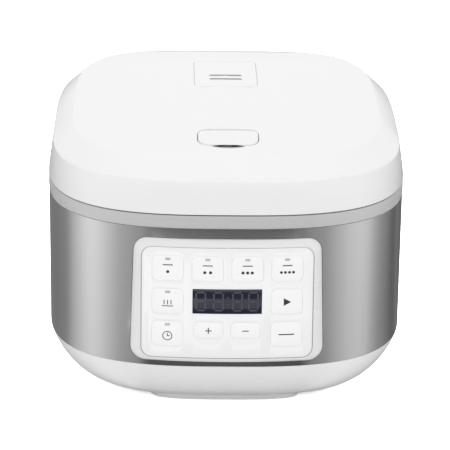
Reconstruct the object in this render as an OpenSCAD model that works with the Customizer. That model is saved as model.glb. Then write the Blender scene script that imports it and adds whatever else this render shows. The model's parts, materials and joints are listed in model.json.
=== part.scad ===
// Countertop rice cooker: an oval-square tub with a steel band, a hinged lid and a front keypad.
// The front faces -Y, the lid is hinged at the rear and +Z is up. The feet stand on z = 0.

/* [Outline] */
// Room between the pot's wall and the outline at the sides
side_room = 33.5; // [32:0.5:38]
// Depth from the widest section to the front, beyond the pot's radius
front_room = 29; // [27:1:36]
// Depth from the widest section to the rear, beyond the pot's radius
rear_room = 82; // [78:1:90]
// Squareness of the two front corners
front_power = 2.95; // [2.8:0.05:3.4]
// Squareness of the two rear corners
rear_power = 4.05; // [3.8:0.05:4.6]
// Thickness of the moulded walls
wall = 2.4; // [2:0.1:2.8]

/* [Heights] */
// Height of the foot bars, pads included
foot_h = 4; // [3.5:0.5:6]
// Height of the curved tub
tub_h = 34; // [32:1:40]
// Height of the steel band
band_h = 102; // [100:1:112]
// Height of the silver collar ring
collar_h = 9.4; // [8:0.2:12]
// Open seam between collar and lid
seam_gap = 0.8; // [0.6:0.1:1.4]
// Height of the lid's side wall
side_h = 23.3; // [22:0.5:28]
// Height of the lid's sloping shoulder
shoulder_h = 14; // [12:0.5:16]
// Rise of the lid's crowned top
crown_h = 12.4; // [11:0.2:14]

/* [Tapers] */
// Draw-in of the steel band at its bottom edge
band_in = 1; // [0.6:0.1:1.4]
// Draw-in of the steel band at its top edge
band_top_in = 0.25; // [0.1:0.05:0.4]
// Draw-in of the tub from the band to its floor
tub_in = 35.3; // [33:0.5:37]
// Fullness of the tub's curve
tub_power = 1.22; // [1.1:0.02:1.5]
// Draw-in of the lid's side wall
side_in = 3.1; // [2.5:0.1:4]
// Draw-in of the lid's shoulder
shoulder_in = 14.2; // [13:0.2:16]

/* [Feet] */
// Width of each foot bar
foot_w = 107; // [95:1:115]
// Distance of the foot bars from the outline
foot_in = 32; // [32:1:38]
// Depth of each foot bar
foot_d = 22; // [18:1:26]
// Set-back of the pads from a bar's middle line, as the bars are curved
pad_back = 2; // [1:0.5:3]
// Radius of a rubber pad
pad_r = 7; // [5:0.5:8]
// Height of a rubber pad
pad_h = 1.8; // [1.4:0.1:2.4]
// How far a pad stands out of its bar
pad_out = 0.6; // [0.4:0.1:0.8]

/* [Band and case] */
// Thickness of the steel band
band_t = 0.6; // [0.4:0.1:0.8]
// Distance of the inner case from the outline
case_in = 2.7; // [2.6:0.1:3]
// Width of the tub's ledge under band and case
ledge_w = 5.2; // [5:0.1:6]
// Width of an air slot in the tub's floor
air_slot_w = 3; // [2:0.5:3.5]
// Length of an air slot in the tub's floor
air_slot_len = 40; // [30:1:50]
// Pitch of the air slots
air_slot_pitch = 8; // [6:0.5:10]
// Thickness of the collar ring
collar_t = 2.1; // [1.8:0.1:2.2]
// Depth of the deck below the collar's top
deck_drop = 3.2; // [2.8:0.1:3.6]
// Radius of the deck's pillars
pillar_r = 5; // [4:0.5:6]
// Sideways distance of the front pillars from the pot's widest point
pillar_front_in = 18; // [16:1:20]
// Distance of the front pillars from the pot's front
pillar_front_back = 13; // [11:1:15]
// Sideways distance of the rear pillars from the pot's widest point
pillar_rear_in = 20; // [18:1:22]
// Distance of the rear pillars from the pot's rear
pillar_rear_back = 1; // [0:1:4]

/* [Pot] */
// Place of the pot's axis along the depth
pot_y = -3; // [-5:1:0]
// Outer radius of the pot's wall
pot_r = 94; // [90:0.5:96]
// Thickness of the pot
pot_t = 2; // [1.5:0.1:2.5]
// Radius of the pot's bottom corner
pot_corner = 22; // [18:1:26]
// Width of the pot's rim
rim_w = 9; // [8.5:0.5:10]
// Thickness of the pot's rim
rim_t = 1.6; // [1.2:0.1:2]
// Air gap round the pot in its shield
pot_air = 4.4; // [3.5:0.1:5]
// Width of the shield's flange under the deck
shield_flange = 4.6; // [4:0.2:5]
// Thickness of the shield sheet
shield_t = 0.8; // [0.6:0.1:1]
// Height of the stands under the shield
shield_stand = 6; // [5:0.5:8]

/* [Heater] */
// Radius of the cast heater plate
plate_r = 80; // [76:1:84]
// Thickness of the heater plate
plate_t = 10; // [9:0.5:11]
// Height of the plate's three legs
leg_h = 6; // [6:0.5:8]
// Radius of a plate leg
leg_r = 5; // [4:0.5:6]
// Pitch radius of the plate's legs
leg_pitch_r = 70; // [68:1:72]
// Pitch radius of the heating element
element_r = 58; // [52:1:60]
// Radius of the element's tube
tube_r = 4; // [3:0.5:4]
// Radius of the hole for the sensor
sensor_hole_r = 17; // [16.5:0.1:19]
// Radius of the sensor cap
sensor_r = 15.5; // [14.5:0.1:16]
// Thickness of the sensor cap
sensor_t = 2.3; // [2:0.1:3]
// Spring travel of the sensor below the pot
sensor_travel = 1.5; // [1:0.1:2]
// Wall of the sensor cap's skirt
skirt_t = 1.2; // [1:0.1:1.4]
// Wire radius of the sensor's spring
sensor_wire = 0.6; // [0.4:0.1:0.7]
// Radius of the thermal fuse
fuse_r = 2.2; // [1.8:0.1:2.4]
// Distance of the thermal fuse from the pot's axis
fuse_in = 31; // [26:1:36]
// Length of the thermal fuse
fuse_len = 16; // [12:1:20]

/* [Control panel] */
// Steel left free below the panel frame
frame_low_gap = 2.6; // [2:0.2:3.4]
// Steel left free above the panel frame
frame_top_gap = 7.4; // [6.6:0.2:8.4]
// Width of the frame beside the fascia, at its top
frame_top_side = 5.75; // [5:0.25:6.5]
// Width of the frame beside the fascia, at its bottom
frame_low_side = 7.75; // [7:0.25:8.5]
// Width of the frame above and below the fascia
frame_end = 5.5; // [5:0.1:6]
// Corner radius of the panel frame
frame_r = 10; // [8:0.5:11]
// How far the frame stands out of the band
panel_rise = 4.7; // [4:0.1:5.5]
// Radius of the panel's curve
panel_curve = 418; // [400:2:440]
// Width of the glossy fascia
fascia_w = 119; // [117:0.5:120]
// Corner radius of the fascia
fascia_r = 7; // [5:0.5:9]
// Thickness of the fascia
fascia_t = 2; // [1.6:0.1:2.4]
// Depth of the fascia's face behind the frame's lip
fascia_sink = 0.6; // [0.5:0.1:0.8]
// Groove between fascia and frame
groove = 0.5; // [0.4:0.1:0.6]
// Width of the frame's front lip
lip_w = 1; // [0.8:0.1:1.4]
// Width of the ledge behind the fascia
rest_w = 2.2; // [1.8:0.1:2.6]
// Depth of the frame's back face behind the band
frame_back = 8; // [7.5:0.5:9]
// Thickness of the board carrier
carrier_t = 2; // [1.6:0.1:2.4]
// Thickness of the circuit boards
board_t = 1.6; // [1.2:0.1:2]
// Width of the display window
window_w = 48; // [46:0.5:50]
// Height of the display window
window_h = 18; // [17:0.5:18.5]
// Thickness of the display module behind the window
module_t = 8; // [6:0.5:8]
// Height of the display's centre above the panel's centre
window_up = 1.4; // [1:0.1:1.8]
// Distance of the control board's edge from the frame's
board_in = 3; // [2:0.5:4]
// Width of the power board
power_w = 104; // [100:1:110]
// Height of the power board
power_h = 66; // [60:1:70]
// Distance of a standoff from the power board's edges
standoff_in = 6; // [5:0.5:8]
// Radius of a standoff
standoff_r = 2.5; // [2:0.1:3]
// Distance of transformer and relay from the power board's side edges
part_in = 18; // [17:1:22]
// Width of the transformer's coil
coil_w = 32; // [28:1:34]
// Height of the transformer's coil
coil_h = 12; // [10:1:16]
// Width of the transformer's core
core_w = 20; // [16:1:24]
// Height of the transformer's core
core_h = 30; // [24:1:34]
// Width of the relay
relay_w = 15; // [12:1:18]
// Height of the relay
relay_h = 20; // [16:1:24]
// Radius of the largest capacitor
capacitor_r = 6; // [5:0.5:7]
// Length of the power board's standoffs
standoff_len = 14; // [12:0.5:16]

/* [Keys] */
// Pitch of the key columns
key_pitch = 27.6; // [26.5:0.1:28.2]
// Width of a large key
key_w = 21.8; // [20:0.1:22.5]
// Height of the fascia above the top keys
key_top_gap = 6; // [5.6:0.1:6.6]
// Height of the fascia between the top and middle keys
row_gap_high = 5.9; // [5.4:0.1:6.4]
// Height of the fascia between the middle and bottom keys
row_gap_low = 5.7; // [5.2:0.1:6.2]
// Height of the fascia below the bottom keys
key_low_gap = 8.2; // [7.6:0.1:8.8]
// Width of a small key
small_w = 20.6; // [19:0.1:21]
// Height of a small key
small_h = 12.2; // [11:0.1:13]
// Distance of the small keys from the middle
small_x = 12.9; // [12.8:0.1:13.2]
// Height of the small keys above the bottom row
small_up = 3; // [2.6:0.1:3.4]
// Corner radius of a key
key_r = 3.4; // [2:0.1:4]
// How far a key stands out of the fascia
key_out = 0.4; // [0.2:0.1:0.5]
// Travel of a key
key_travel = 0.6; // [0.4:0.1:0.8]
// Width of a key's retaining flange
key_flange = 1.1; // [0.9:0.1:1.2]
// Thickness of a key's retaining flange
key_flange_t = 1; // [0.8:0.1:1.2]
// Radius of a key's stem
stem_r = 2.4; // [2:0.1:2.8]
// Height of a tactile switch
switch_h = 4.5; // [4:0.1:5]
// Width of a tactile switch
switch_w = 6; // [5:0.5:6.5]
// Width of an indicator lens
lens_w = 3.2; // [2.8:0.1:3.6]
// Height of an indicator lens
lens_h = 1.6; // [1.2:0.1:2]
// Distance of an indicator from its key's top edge
lens_down = 2.3; // [2.1:0.1:2.8]

/* [Back] */
// Width of the back panel
back_w = 150; // [140:1:160]
// Steel left free above and below the back panel
back_edge = 6; // [4:0.5:7]
// Corner radius of the back panel
back_r = 8; // [6:1:10]
// How far the back panel stands out of the band
back_rise = 4.7; // [4:0.1:5.5]
// Width of the dew cup
cup_w = 70; // [60:1:80]
// Height of the dew cup
cup_h = 26; // [22:1:30]
// Depth of the dew cup
cup_d = 42; // [38:1:44]
// Depth of the dew cup's floor below the deck
cup_down = 44.8; // [43:0.2:46]
// Radius of the finger hollow in the dew cup
finger_r = 9; // [8:0.5:12]
// Depth of the finger hollow in the dew cup
finger_in = 2; // [1.5:0.1:2.4]
// Radius of the drain hole over the dew cup
drain_r = 2.5; // [2:0.1:3]
// Wall of the dew cup
cup_t = 1.6; // [1.2:0.1:2]
// Travel of the dew cup as it pulls out
cup_travel = 45; // [42:1:60]
// Distance of the power inlet's middle from the back panel's side edge
inlet_in = 33; // [28:1:38]
// Height of the power inlet above the band's bottom edge
inlet_up = 28; // [26:1:34]
// Width of the power inlet
inlet_w = 30; // [28:1:34]
// Height of the power inlet
inlet_h = 24; // [22:1:26]
// Depth of the power inlet
inlet_d = 26; // [24:1:30]
// Wall of the power inlet
inlet_t = 3; // [2:0.5:4]
// Set-back of an inlet pin's tip, and how far its tail stands out
prong_out = 5; // [3:0.5:6]
// Radius of an inlet pin
prong_r = 1.6; // [1.2:0.1:2]

/* [Hinge] */
// Distance of the hinge axis from the rear outline
hinge_in = 21; // [20:0.5:23]
// Radius of the hinge barrel
hinge_r = 8; // [7.5:0.1:8.5]
// Gap between barrel and lid
hinge_gap = 0.4; // [0.3:0.05:0.5]
// Distance of the lid's rear lip from the axis
hinge_lip = 5; // [4.8:0.1:5.6]
// Radius of the hinge pin
pin_r = 2.2; // [1.8:0.1:2.6]
// Inner edge of a lid arm
arm_x = 36; // [34:1:38]
// Width of a lid arm
arm_w = 14; // [10:1:16]
// Thickness of an ear beside an arm
ear_t = 4; // [3:0.5:5]
// Turns of a torsion spring
hinge_turns = 6; // [4:1:7]
// Wire radius of the hinge springs
hinge_wire = 0.7; // [0.5:0.1:0.8]

/* [Lid fittings] */
// How far the inner lid plate reaches past the pot's wall
inner_lid_over = 1.5; // [0.5:0.5:2]
// Thickness of the inner lid plate
inner_lid_t = 0.8; // [0.6:0.1:1]
// Thickness of the flat heater over the liner
lid_heater_t = 0.6; // [0.4:0.1:1]
// Depth of the dish in the inner lid plate
inner_lid_dish = 1.5; // [1:0.1:1.5]
// Gap between the inner lid plate and the pot gasket
gasket_gap = 0.5; // [0.3:0.1:0.7]
// Width of the pot gasket
gasket_w = 5; // [4.5:0.1:5.2]
// Height of the liner above the lid's bottom edge
liner_up = 3; // [2.8:0.1:4]
// Sideways place of the lid's screws
cover_screw_x = 88; // [86:1:90]
// Place of the lid's screws along the depth, front and rear
cover_screw_y = 80; // [76:1:84]
// Width of the steam cap
steam_w = 46; // [42:1:50]
// Depth of the steam cap
steam_d = 81; // [76:1:84]
// Front edge of the steam cap along the depth
steam_y = -5; // [-8:1:-2]
// Corner radius of the steam cap
steam_r = 5; // [3:0.5:8]
// Depth of the steam well below the lid's top
well_d = 14; // [12:0.5:16]
// Thickness of the well and cap walls
well_t = 1.6; // [1.2:0.1:2]
// Length of a steam slot
slot_len = 24; // [20:1:28]
// Width of a steam slot
slot_w = 3.2; // [2.6:0.1:3.8]
// Distance of the first slot from the cap's front edge
slot_in = 20.5; // [19:0.5:24]
// Pitch of the two steam slots
slot_pitch = 11.2; // [10:0.2:13]
// Bore radius of the steam tube
vent_r = 7.6; // [6.5:0.1:8.5]
// Distance of the steam tube from the cap's front edge
vent_in = 35; // [34:1:38]
// Length of the steam cap's spout
spout_len = 7; // [6:0.5:8]
// Thickness of the steam seal and of the spout's wall
seal_t = 1.2; // [1:0.1:1.4]
// Height of the steam seal
seal_h = 3; // [2:0.5:4]
// Lift of the steam cap as it pulls off
steam_travel = 25; // [20:1:40]

/* [Lid lock] */
// Width of the release button
button_w = 42; // [40:0.5:44]
// Depth of the release button
button_d = 24.4; // [23:0.2:25]
// Front edge of the button along the depth
button_y = -118; // [-119:0.5:-117]
// Radius of the button's curved roof
button_roof_r = 120; // [100:5:140]
// How far the button stands above the lid at its rear edge
button_proud = 0.25; // [0.2:0.05:0.5]
// Width of the flange that holds the button in the lid
button_flange = 1.2; // [1:0.1:1.5]
// Thickness of the button's flange
button_flange_t = 1.5; // [1:0.1:1.6]
// Depth of the hollow under the button
button_hollow = 4.2; // [3.5:0.1:4.4]
// Width of the button's two push rods
push_w = 3; // [2.5:0.1:3.5]
// Radius of the button's plunger
plunger_r = 3.5; // [3:0.1:4]
// Length of the button's plunger
plunger_len = 12; // [11:0.5:13]
// Wire radius of the button's spring
button_wire = 0.5; // [0.4:0.1:0.6]
// Travel of the release button
button_travel = 3; // [2:0.1:3.2]
// Radius of the latch pivot pin
latch_pin_r = 1.5; // [1.3:0.1:2]
// Room in front of the latch for its swing
hook_swing = 5.2; // [5:0.1:5.4]
// Length of the latch arm
latch_arm = 24; // [22:0.5:26]
// Thickness of the latch bracket's cheeks
bracket_t = 2; // [1.6:0.1:2.4]
// Half width of the latch bracket's cheeks
cheek_r = 4; // [3:0.5:5]
// Thickness of the latch lever
latch_t = 2; // [1.8:0.1:2.6]
// Sideways place of the latch's two arms
fork_x = 9; // [8:0.5:9.5]
// Reach of the latch's hook in front of its pivot
hook_reach = 8.4; // [8:0.1:9]
// Height of the latch's pivot above the liner
latch_up = 10.5; // [10:0.1:11]
// Width of the latch lever
latch_w = 26; // [24:1:30]

/* [Fits] */
// Gap between parts that move past each other
gap = 0.3; // [0.25:0.05:0.35]
// Radial clearance of pins and screws in their bores
pin_fit = 0.05; // [0.03:0.01:0.08]
// Gap between close-fitting fixed parts
seat_gap = 0.15; // [0.1:0.05:0.2]
// Radius of a screw shank
screw_r = 1.5; // [1.25:0.05:1.6]
// Length of a screw shank
screw_len = 10; // [9:0.5:12]

/* [Hidden] */
$fn = 64;
plan_n = 96;            // points round each outline
fine_fn = 360;          // facets of the panel's large curve
eps = 0.01;
far = 400;
blend = 0.3;            // half the sine over which front corners pass into rear ones

body_w = 2 * (pot_r + side_room);
body_front = pot_r + front_room;
body_rear = pot_r + rear_room;
z_band = foot_h + tub_h;
z_collar = z_band + band_h;
z_seam = z_collar + collar_h;
z_lid = z_seam + seam_gap;
z_break = z_lid + side_h;
z_edge = z_break + shoulder_h;
z_top = z_edge + crown_h;
top_in = side_in + shoulder_in;

panel_seat = band_in * 0.8;
front_reach = body_front - panel_seat + panel_rise;
rear_reach = body_rear - panel_seat + back_rise;
mid_y = (front_reach - rear_reach) / 2;     // widest section

z_floor = foot_h + wall;
z_shield = z_floor + shield_stand;
z_shield_top = z_shield + shield_t;
z_plate = z_shield_top + leg_h;
z_plate_top = z_plate + plate_t;
z_pot = z_plate_top + gap;
z_deck = z_seam - deck_drop;
z_deck_low = z_deck - wall;
z_rim = z_deck + gap;
z_rim_top = z_rim + rim_t;
z_liner = z_lid + liner_up;
z_liner_top = z_liner + wall;
liner_in = wall + side_in * (z_liner_top - z_lid + 1) / side_h + seat_gap;
rim_r = pot_r + rim_w;
deck_hole_r = pot_r + gap * 8;
shield_r = pot_r + pot_air;
inner_lid_r = pot_r + inner_lid_over;
gasket_r = inner_lid_r + gasket_gap + gasket_w;
pillar_front_x = pot_r - pillar_front_in;
pillar_front_y = pot_y - pot_r + pillar_front_back;
pillar_rear_x = pot_r - pillar_rear_in;
pillar_rear_y = pot_y + pot_r - pillar_rear_back;
post_flange_t = 1;

hinge_y = mid_y + body_rear - hinge_in;
hinge_z = crown_z(0, hinge_y) - hinge_r;
lid_back = hinge_y - hinge_r - hinge_gap;
pin_end = arm_x + arm_w + gap + ear_t;

panel_y = mid_y - body_front + panel_seat;  // band surface behind the panel
frame_h = band_h - frame_low_gap - frame_top_gap;
frame_top_w = fascia_w + 2 * frame_top_side;
frame_low_w = fascia_w + 2 * frame_low_side;
fascia_h = frame_h - 2 * frame_end;
panel_z = z_band + frame_low_gap + frame_h / 2;
key_h = (fascia_h - key_top_gap - row_gap_high - row_gap_low - key_low_gap) / 3;
top_row = fascia_h / 2 - key_top_gap - key_h / 2;
mid_row = top_row - key_h - row_gap_high;
low_row = key_h + row_gap_low - mid_row;
small_row = low_row - small_up;
panel_axis = panel_y + panel_curve;
face_out = panel_rise - fascia_sink;
face_back = face_out - fascia_t;
frame_back_y = panel_y + frame_back;
board_y = frame_back_y + carrier_t;
board_w = frame_low_w - 2 * board_in;
board_h = frame_h - 2 * board_in;
stem_y = board_y - switch_h - key_travel - gap;
panel_screw_x = fascia_w / 2 + 1.6;
panel_screw_z = 25;
power_y = board_y + board_t + standoff_len;
power_part_h = 15;

back_face = mid_y + body_rear - panel_seat + back_rise;
back_h = band_h - 2 * back_edge;
back_z = z_band + band_h / 2;
cup_y = back_face - cup_d;
cup_z = z_deck_low - cup_down;
inlet_x = back_w / 2 - inlet_in;
inlet_z = z_band + inlet_up;
inlet_face = back_face - 2;

steam_mid = steam_y + steam_d / 2;
vent_y = steam_y + vent_in;
z_well = crown_z(0, steam_y + steam_d) + 5 - well_d;
spout_r = vent_r - gap - seal_t;
button_mid = button_y + button_d / 2;
latch_y = button_mid - latch_arm;
latch_z = z_liner_top + latch_up;
hook_y = latch_y - hook_reach;
z_beak = z_deck_low - gap;

// Key centres and sizes: x, z above the panel's centre, width, height, indicator
KEYS = concat(
    [for (i = [-1.5:1:1.5]) [i * key_pitch, top_row, key_w, key_h, 1]],
    [for (s = [-1, 1]) [s * 1.5 * key_pitch, mid_row, key_w, key_h, s < 0 ? 1 : 0]],
    [[-1.5 * key_pitch, -low_row, key_w, key_h, 1],
     [-small_x, -small_row, small_w, small_h, 0],
     [small_x, -small_row, small_w, small_h, 0],
     [1.5 * key_pitch, -low_row, key_w, key_h, 0]]);

// ---------- outlines ----------

// Squareness of the outline in a direction with the sine s
function corner_power(s) =
    let (w = min(max((s / blend + 1) / 2, 0), 1))
    front_power + (rear_power - front_power) * w * w * (3 - 2 * w);

// Radius of the outline, from its widest section's middle, in direction t
function plan_radius(t, inset, k) =
    let (a = (body_w / 2 - inset) * k,
         b = ((sin(t) < 0 ? body_front : body_rear) - inset) * k,
         m = corner_power(sin(t)))
    1 / pow(pow(abs(cos(t)) / a, m) + pow(abs(sin(t)) / b, m), 1 / m);

// Outline points, drawn in by inset and scaled by k about the widest section
function plan(inset, k = 1) =
    [for (i = [0:plan_n - 1])
        let (t = 360 * i / plan_n, r = plan_radius(t, inset, k))
        [r * cos(t), r * sin(t) + mid_y]];

function ring(inset, z, k = 1) = [for (p = plan(inset, k)) [p[0], p[1], z]];

// Front surface of the body at sideways place x
function front_y(x, inset) =
    mid_y - (body_front - inset)
        * pow(1 - pow(abs(x) / (body_w / 2 - inset), front_power), 1 / front_power);

// Height of the lid's crowned top over a point
function crown_z(x, y) =
    let (m = corner_power((y - mid_y) / (norm([x, y - mid_y]) + eps)),
         b = (y < mid_y ? body_front : body_rear) - top_in,
         k = pow(pow(abs(x) / (body_w / 2 - top_in), m) + pow(abs(y - mid_y) / b, m), 1 / m))
    z_edge + crown_h * (1 - k * k);

// Draw-in of the tub at a share u of its height, from the band down
function tub_inset(u) = band_in + tub_in * (1 - sqrt(1 - pow(u, tub_power)));

// Rounded trapezoid, widths at its top and bottom, counter-clockwise
function trapezoid(top_w, low_w, h, r) =
    let (corners = [[low_w, -1, 1, 270], [top_w, 1, 1, 0], [top_w, 1, -1, 90], [low_w, -1, -1, 180]],
         arcs = [for (c = corners)
            [for (i = [0:6]) [c[2] * (c[0] / 2 - r) + r * cos(c[3] + 15 * i),
                c[1] * (h / 2 - r) + r * sin(c[3] + 15 * i)]]])
    [for (j = [0:3]) each concat(arcs[j],
        j % 2 == 0 ? [] : [for (i = [1:9])
            let (a = arcs[j][6], b = arcs[(j + 1) % 4][0]) a + (b - a) * i / 10])];

// ---------- solids through outlines ----------

function loft_sides(n, m) =
    [for (j = [0:m - 2], i = [0:n - 1])
        let (p = j * n + i, q = j * n + (i + 1) % n)
        each [[p, p + n, q + n], [p, q + n, q]]];

// Solid through a stack of outlines with flat ends
module loft(rings) {
    n = len(rings[0]);
    m = len(rings);
    polyhedron([for (r = rings) each r],
        concat([[for (i = [0:n - 1]) i]], loft_sides(n, m),
            [[for (i = [n - 1:-1:0]) (m - 1) * n + i]]));
}

// Closed ring-shaped skin through a loop of outlines
module loft_loop(rings) {
    n = len(rings[0]);
    closed = concat(rings, [rings[0]]);
    m = len(rings);
    faces = [for (f = loft_sides(n, m + 1)) [for (v = f) v % (n * m)]];
    polyhedron([for (r = rings) each r], faces);
}

function unit(v) = v / norm(v);

// Round wire along a path that turns about the direction ref
module wire(path, r, ref, sides = 6) {
    n = len(path);
    rings = [for (i = [0:n - 1])
        let (t = unit(path[min(i + 1, n - 1)] - path[max(i - 1, 0)]),
             u = unit(cross(t, ref)), v = cross(t, u))
        [for (s = [0:sides - 1])
            path[i] + r * (cos(360 * s / sides) * u + sin(360 * s / sides) * v)]];
    loft(rings);
}

// Coil spring standing on z = 0
module coil(r, wire_r, h, turns, steps = 12) {
    n = turns * steps;
    wire([for (i = [0:n])
        [r * cos(360 * i / steps), r * sin(360 * i / steps), wire_r + (h - 2 * wire_r) * i / n]],
        wire_r, [0, 0, 1]);
}

module prism(inset, z0, z1) {
    translate([0, 0, z0]) linear_extrude(z1 - z0) polygon(plan(inset));
}

// Flat figure, drawn in x and z, run along the depth from y0 to y1
module along_y(y0, y1) {
    translate([0, y1, 0]) rotate([90, 0, 0]) linear_extrude(y1 - y0) children();
}

module rounded(w, h, r) {
    square([w - 2 * r, h], center = true);
    square([w, h - 2 * r], center = true);
    for (x = [-1, 1], y = [-1, 1]) translate([x * (w / 2 - r), y * (h / 2 - r)]) circle(r);
}

// Slice of the panel's curve between two heights over the band
module curved_slab(t0, t1) {
    translate([0, panel_axis, panel_z - frame_h]) difference() {
        cylinder(r = panel_curve + t1, h = 2 * frame_h, $fn = fine_fn);
        translate([0, 0, -1])
            cylinder(r = panel_curve + t0, h = 2 * frame_h + 2, $fn = fine_fn);
    }
}

// Panel figure at a place on the panel, between two heights over the band
module on_panel(x, z, t0, t1) {
    intersection() {
        translate([x, 0, panel_z + z]) along_y(panel_y - panel_rise - 2, panel_y + frame_back)
            children();
        curved_slab(t0, t1);
    }
}

module rod_x(x0, x1, y, z, r) {
    translate([x0, y, z]) rotate([0, 90, 0]) cylinder(r = r, h = x1 - x0);
}

module box(lo, hi) {
    translate(lo) cube(hi - lo);
}

// Screw with its shank along +z and its head under z = 0
module screw() {
    difference() {
        union() {
            cylinder(r = screw_r, h = screw_len);
            translate([0, 0, -screw_r]) cylinder(r = 2 * screw_r, h = screw_r);
        }
        for (a = [0, 90]) rotate(a)
            translate([0, 0, -screw_r]) cube([3 * screw_r, 0.6, screw_r], center = true);
    }
}

module pillar_spots() {
    for (s = [-1, 1]) {
        translate([s * pillar_front_x, pillar_front_y, 0]) children();
        translate([s * pillar_rear_x, pillar_rear_y, 0]) children();
    }
}

module panel_screw_spots(y) {
    for (x = [-1, 1], z = [-1, 1])
        translate([x * panel_screw_x, y, panel_z + z * panel_screw_z]) rotate([90, 0, 0])
            children();
}

// ---------- tub and feet ----------

module tub_shape() {
    outer = [for (u = [1, 0.985, 0.95, 0.88, 0.78, 0.65, 0.5, 0.35, 0.2, 0.08, 0])
        ring(tub_inset(u), z_band - tub_h * u)];
    floor_u = 1 - wall / tub_h;
    inner = [for (u = [0, 0.25, 0.5, 0.7, 0.85, floor_u])
        ring(max(tub_inset(u) + wall * (1 + u), band_in + ledge_w), z_band - tub_h * u)];
    loft(concat(outer, inner));
}

module base_tub() color("whitesmoke") {
    difference() {
        union() {
            tub_shape();
            for (a = [90, 210, 330]) translate([0, pot_y, z_floor - 1]) rotate(a)
                translate([leg_pitch_r, 0, 0]) cylinder(r = leg_r + 3, h = shield_stand + 1);
        }
        pillar_spots() translate([0, 0, foot_h - 1])
            cylinder(r = screw_r + pin_fit, h = wall + 2);
        for (i = [-4:4]) translate([i * air_slot_pitch, pot_y, foot_h + wall / 2])
            cube([air_slot_w, air_slot_len, wall + 2], center = true);
    }
}

// One foot bar: a length of the outline with round ends
module foot_bar_shape(front) {
    lane = front ? -1 : 1;
    translate([0, 0, pad_out]) linear_extrude(foot_h - pad_out) offset(r = foot_d / 2 - 1)
        intersection() {
            difference() {
                polygon(plan(foot_in + foot_d / 2 - 1));
                polygon(plan(foot_in + foot_d / 2 + 1));
            }
            translate([0, mid_y + lane * far / 2]) square([foot_w - foot_d, far], center = true);
        }
}

module pad_spots() {
    for (s = [-1, 1], f = [-1, 1]) {
        reach = f < 0 ? body_front : body_rear;
        lane = f * (reach - foot_in - foot_d / 2 - pad_back);
        translate([s * (foot_w / 2 - 2 * pad_r), mid_y + lane, 0]) children();
    }
}

module foot_bars() color("whitesmoke") {
    difference() {
        union() {
            foot_bar_shape(true);
            foot_bar_shape(false);
        }
        pad_spots() cylinder(r = pad_r + pin_fit, h = pad_h);
    }
}

module foot_pads() color("gray") {
    pad_spots() cylinder(r = pad_r, h = pad_h);
}

// ---------- case, band, collar and deck ----------

module panel_neck(clear, y0, y1) {
    translate([0, 0, panel_z]) along_y(y0, y1)
        polygon(trapezoid(frame_top_w + 2 * clear, frame_low_w + 2 * clear,
            frame_h + 2 * clear, frame_r + clear));
}

module back_shape(clear) {
    translate([0, 0, back_z]) along_y(cup_y, back_face + 1)
        rounded(back_w + 2 * clear, back_h + 2 * clear, back_r + clear);
}

module outer_case() color("gainsboro") {
    difference() {
        prism(case_in, z_band, z_deck_low);
        prism(case_in + wall, z_band - 1, z_deck_low + 1);
        panel_neck(gap, panel_y - 10, board_y + 10);
        box([-cup_w / 2 - 2 * cup_t, cup_y, cup_z - 3 * cup_t],
            [cup_w / 2 + 2 * cup_t, far, cup_z + cup_h + cup_t]);
        box([inlet_x - inlet_w / 2 - gap, 0, inlet_z - inlet_h / 2 - gap],
            [inlet_x + inlet_w / 2 + gap, far, inlet_z + inlet_h / 2 + gap]);
    }
}

module steel_band() color("silver") {
    difference() {
        loft_loop([ring(band_in, z_band), ring(band_top_in, z_collar),
            ring(band_top_in + band_t, z_collar), ring(band_in + band_t, z_band)]);
        panel_neck(gap, panel_y - 10, board_y + 10);
        back_shape(gap);
    }
}

module collar_ring() color("lightgray") {
    loft_loop([ring(band_top_in, z_collar), ring(0, z_collar + 1.5), ring(0, z_seam),
        ring(collar_t, z_seam), ring(collar_t, z_collar)]);
}

// Slot the latch swings in; its beak stops a gap short of the edge at the slot's rear
module latch_slot(behind) {
    box([-latch_w / 2 - 1, hook_y - hook_swing, 0],
        [latch_w / 2 + 1, hook_y + behind, z_lid + 2 * wall + liner_up]);
}

module upper_deck() color("white") {
    difference() {
        union() {
            prism(collar_t + gap, z_deck_low, z_deck);
            pillar_spots() translate([0, 0, z_floor])
                cylinder(r = pillar_r, h = z_deck - z_floor - eps);
        }
        translate([0, pot_y, z_deck_low - 1]) cylinder(r = deck_hole_r, h = wall + 2);
        pillar_spots() translate([0, 0, z_floor - 1])
            cylinder(r = screw_r + pin_fit, h = screw_len + 3);
        latch_slot(latch_t * 2 + gap);
        translate([0, cup_y + 2 * drain_r, z_deck_low - 1]) cylinder(r = drain_r, h = wall + 2);
    }
}

// ---------- pot, shield and heater ----------

module pot_shield() color("darkgray") {
    flange = shield_r + shield_flange;
    translate([0, pot_y, 0]) rotate_extrude() polygon([
        [sensor_r - 2, z_shield], [shield_r + shield_t, z_shield],
        [shield_r + shield_t, z_deck_low - shield_t], [flange, z_deck_low - shield_t],
        [flange, z_deck_low], [shield_r, z_deck_low], [shield_r, z_shield_top],
        [sensor_r - 2, z_shield_top]]);
}

module heater_plate() color("silver") {
    difference() {
        translate([0, pot_y, 0]) union() {
            translate([0, 0, z_plate]) cylinder(r = plate_r, h = plate_t);
            for (a = [90, 210, 330]) rotate(a) translate([leg_pitch_r, 0, z_shield_top])
                cylinder(r = leg_r, h = leg_h + eps);
        }
        translate([0, pot_y, z_plate - 1]) cylinder(r = sensor_hole_r, h = plate_t + 2);
        translate([0, pot_y, z_plate]) rotate_extrude()
            translate([element_r, 0]) {
                circle(tube_r + pin_fit);
                translate([0, -tube_r]) square([2 * tube_r + 2 * pin_fit, 2 * tube_r], center = true);
            }
    }
}

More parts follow.
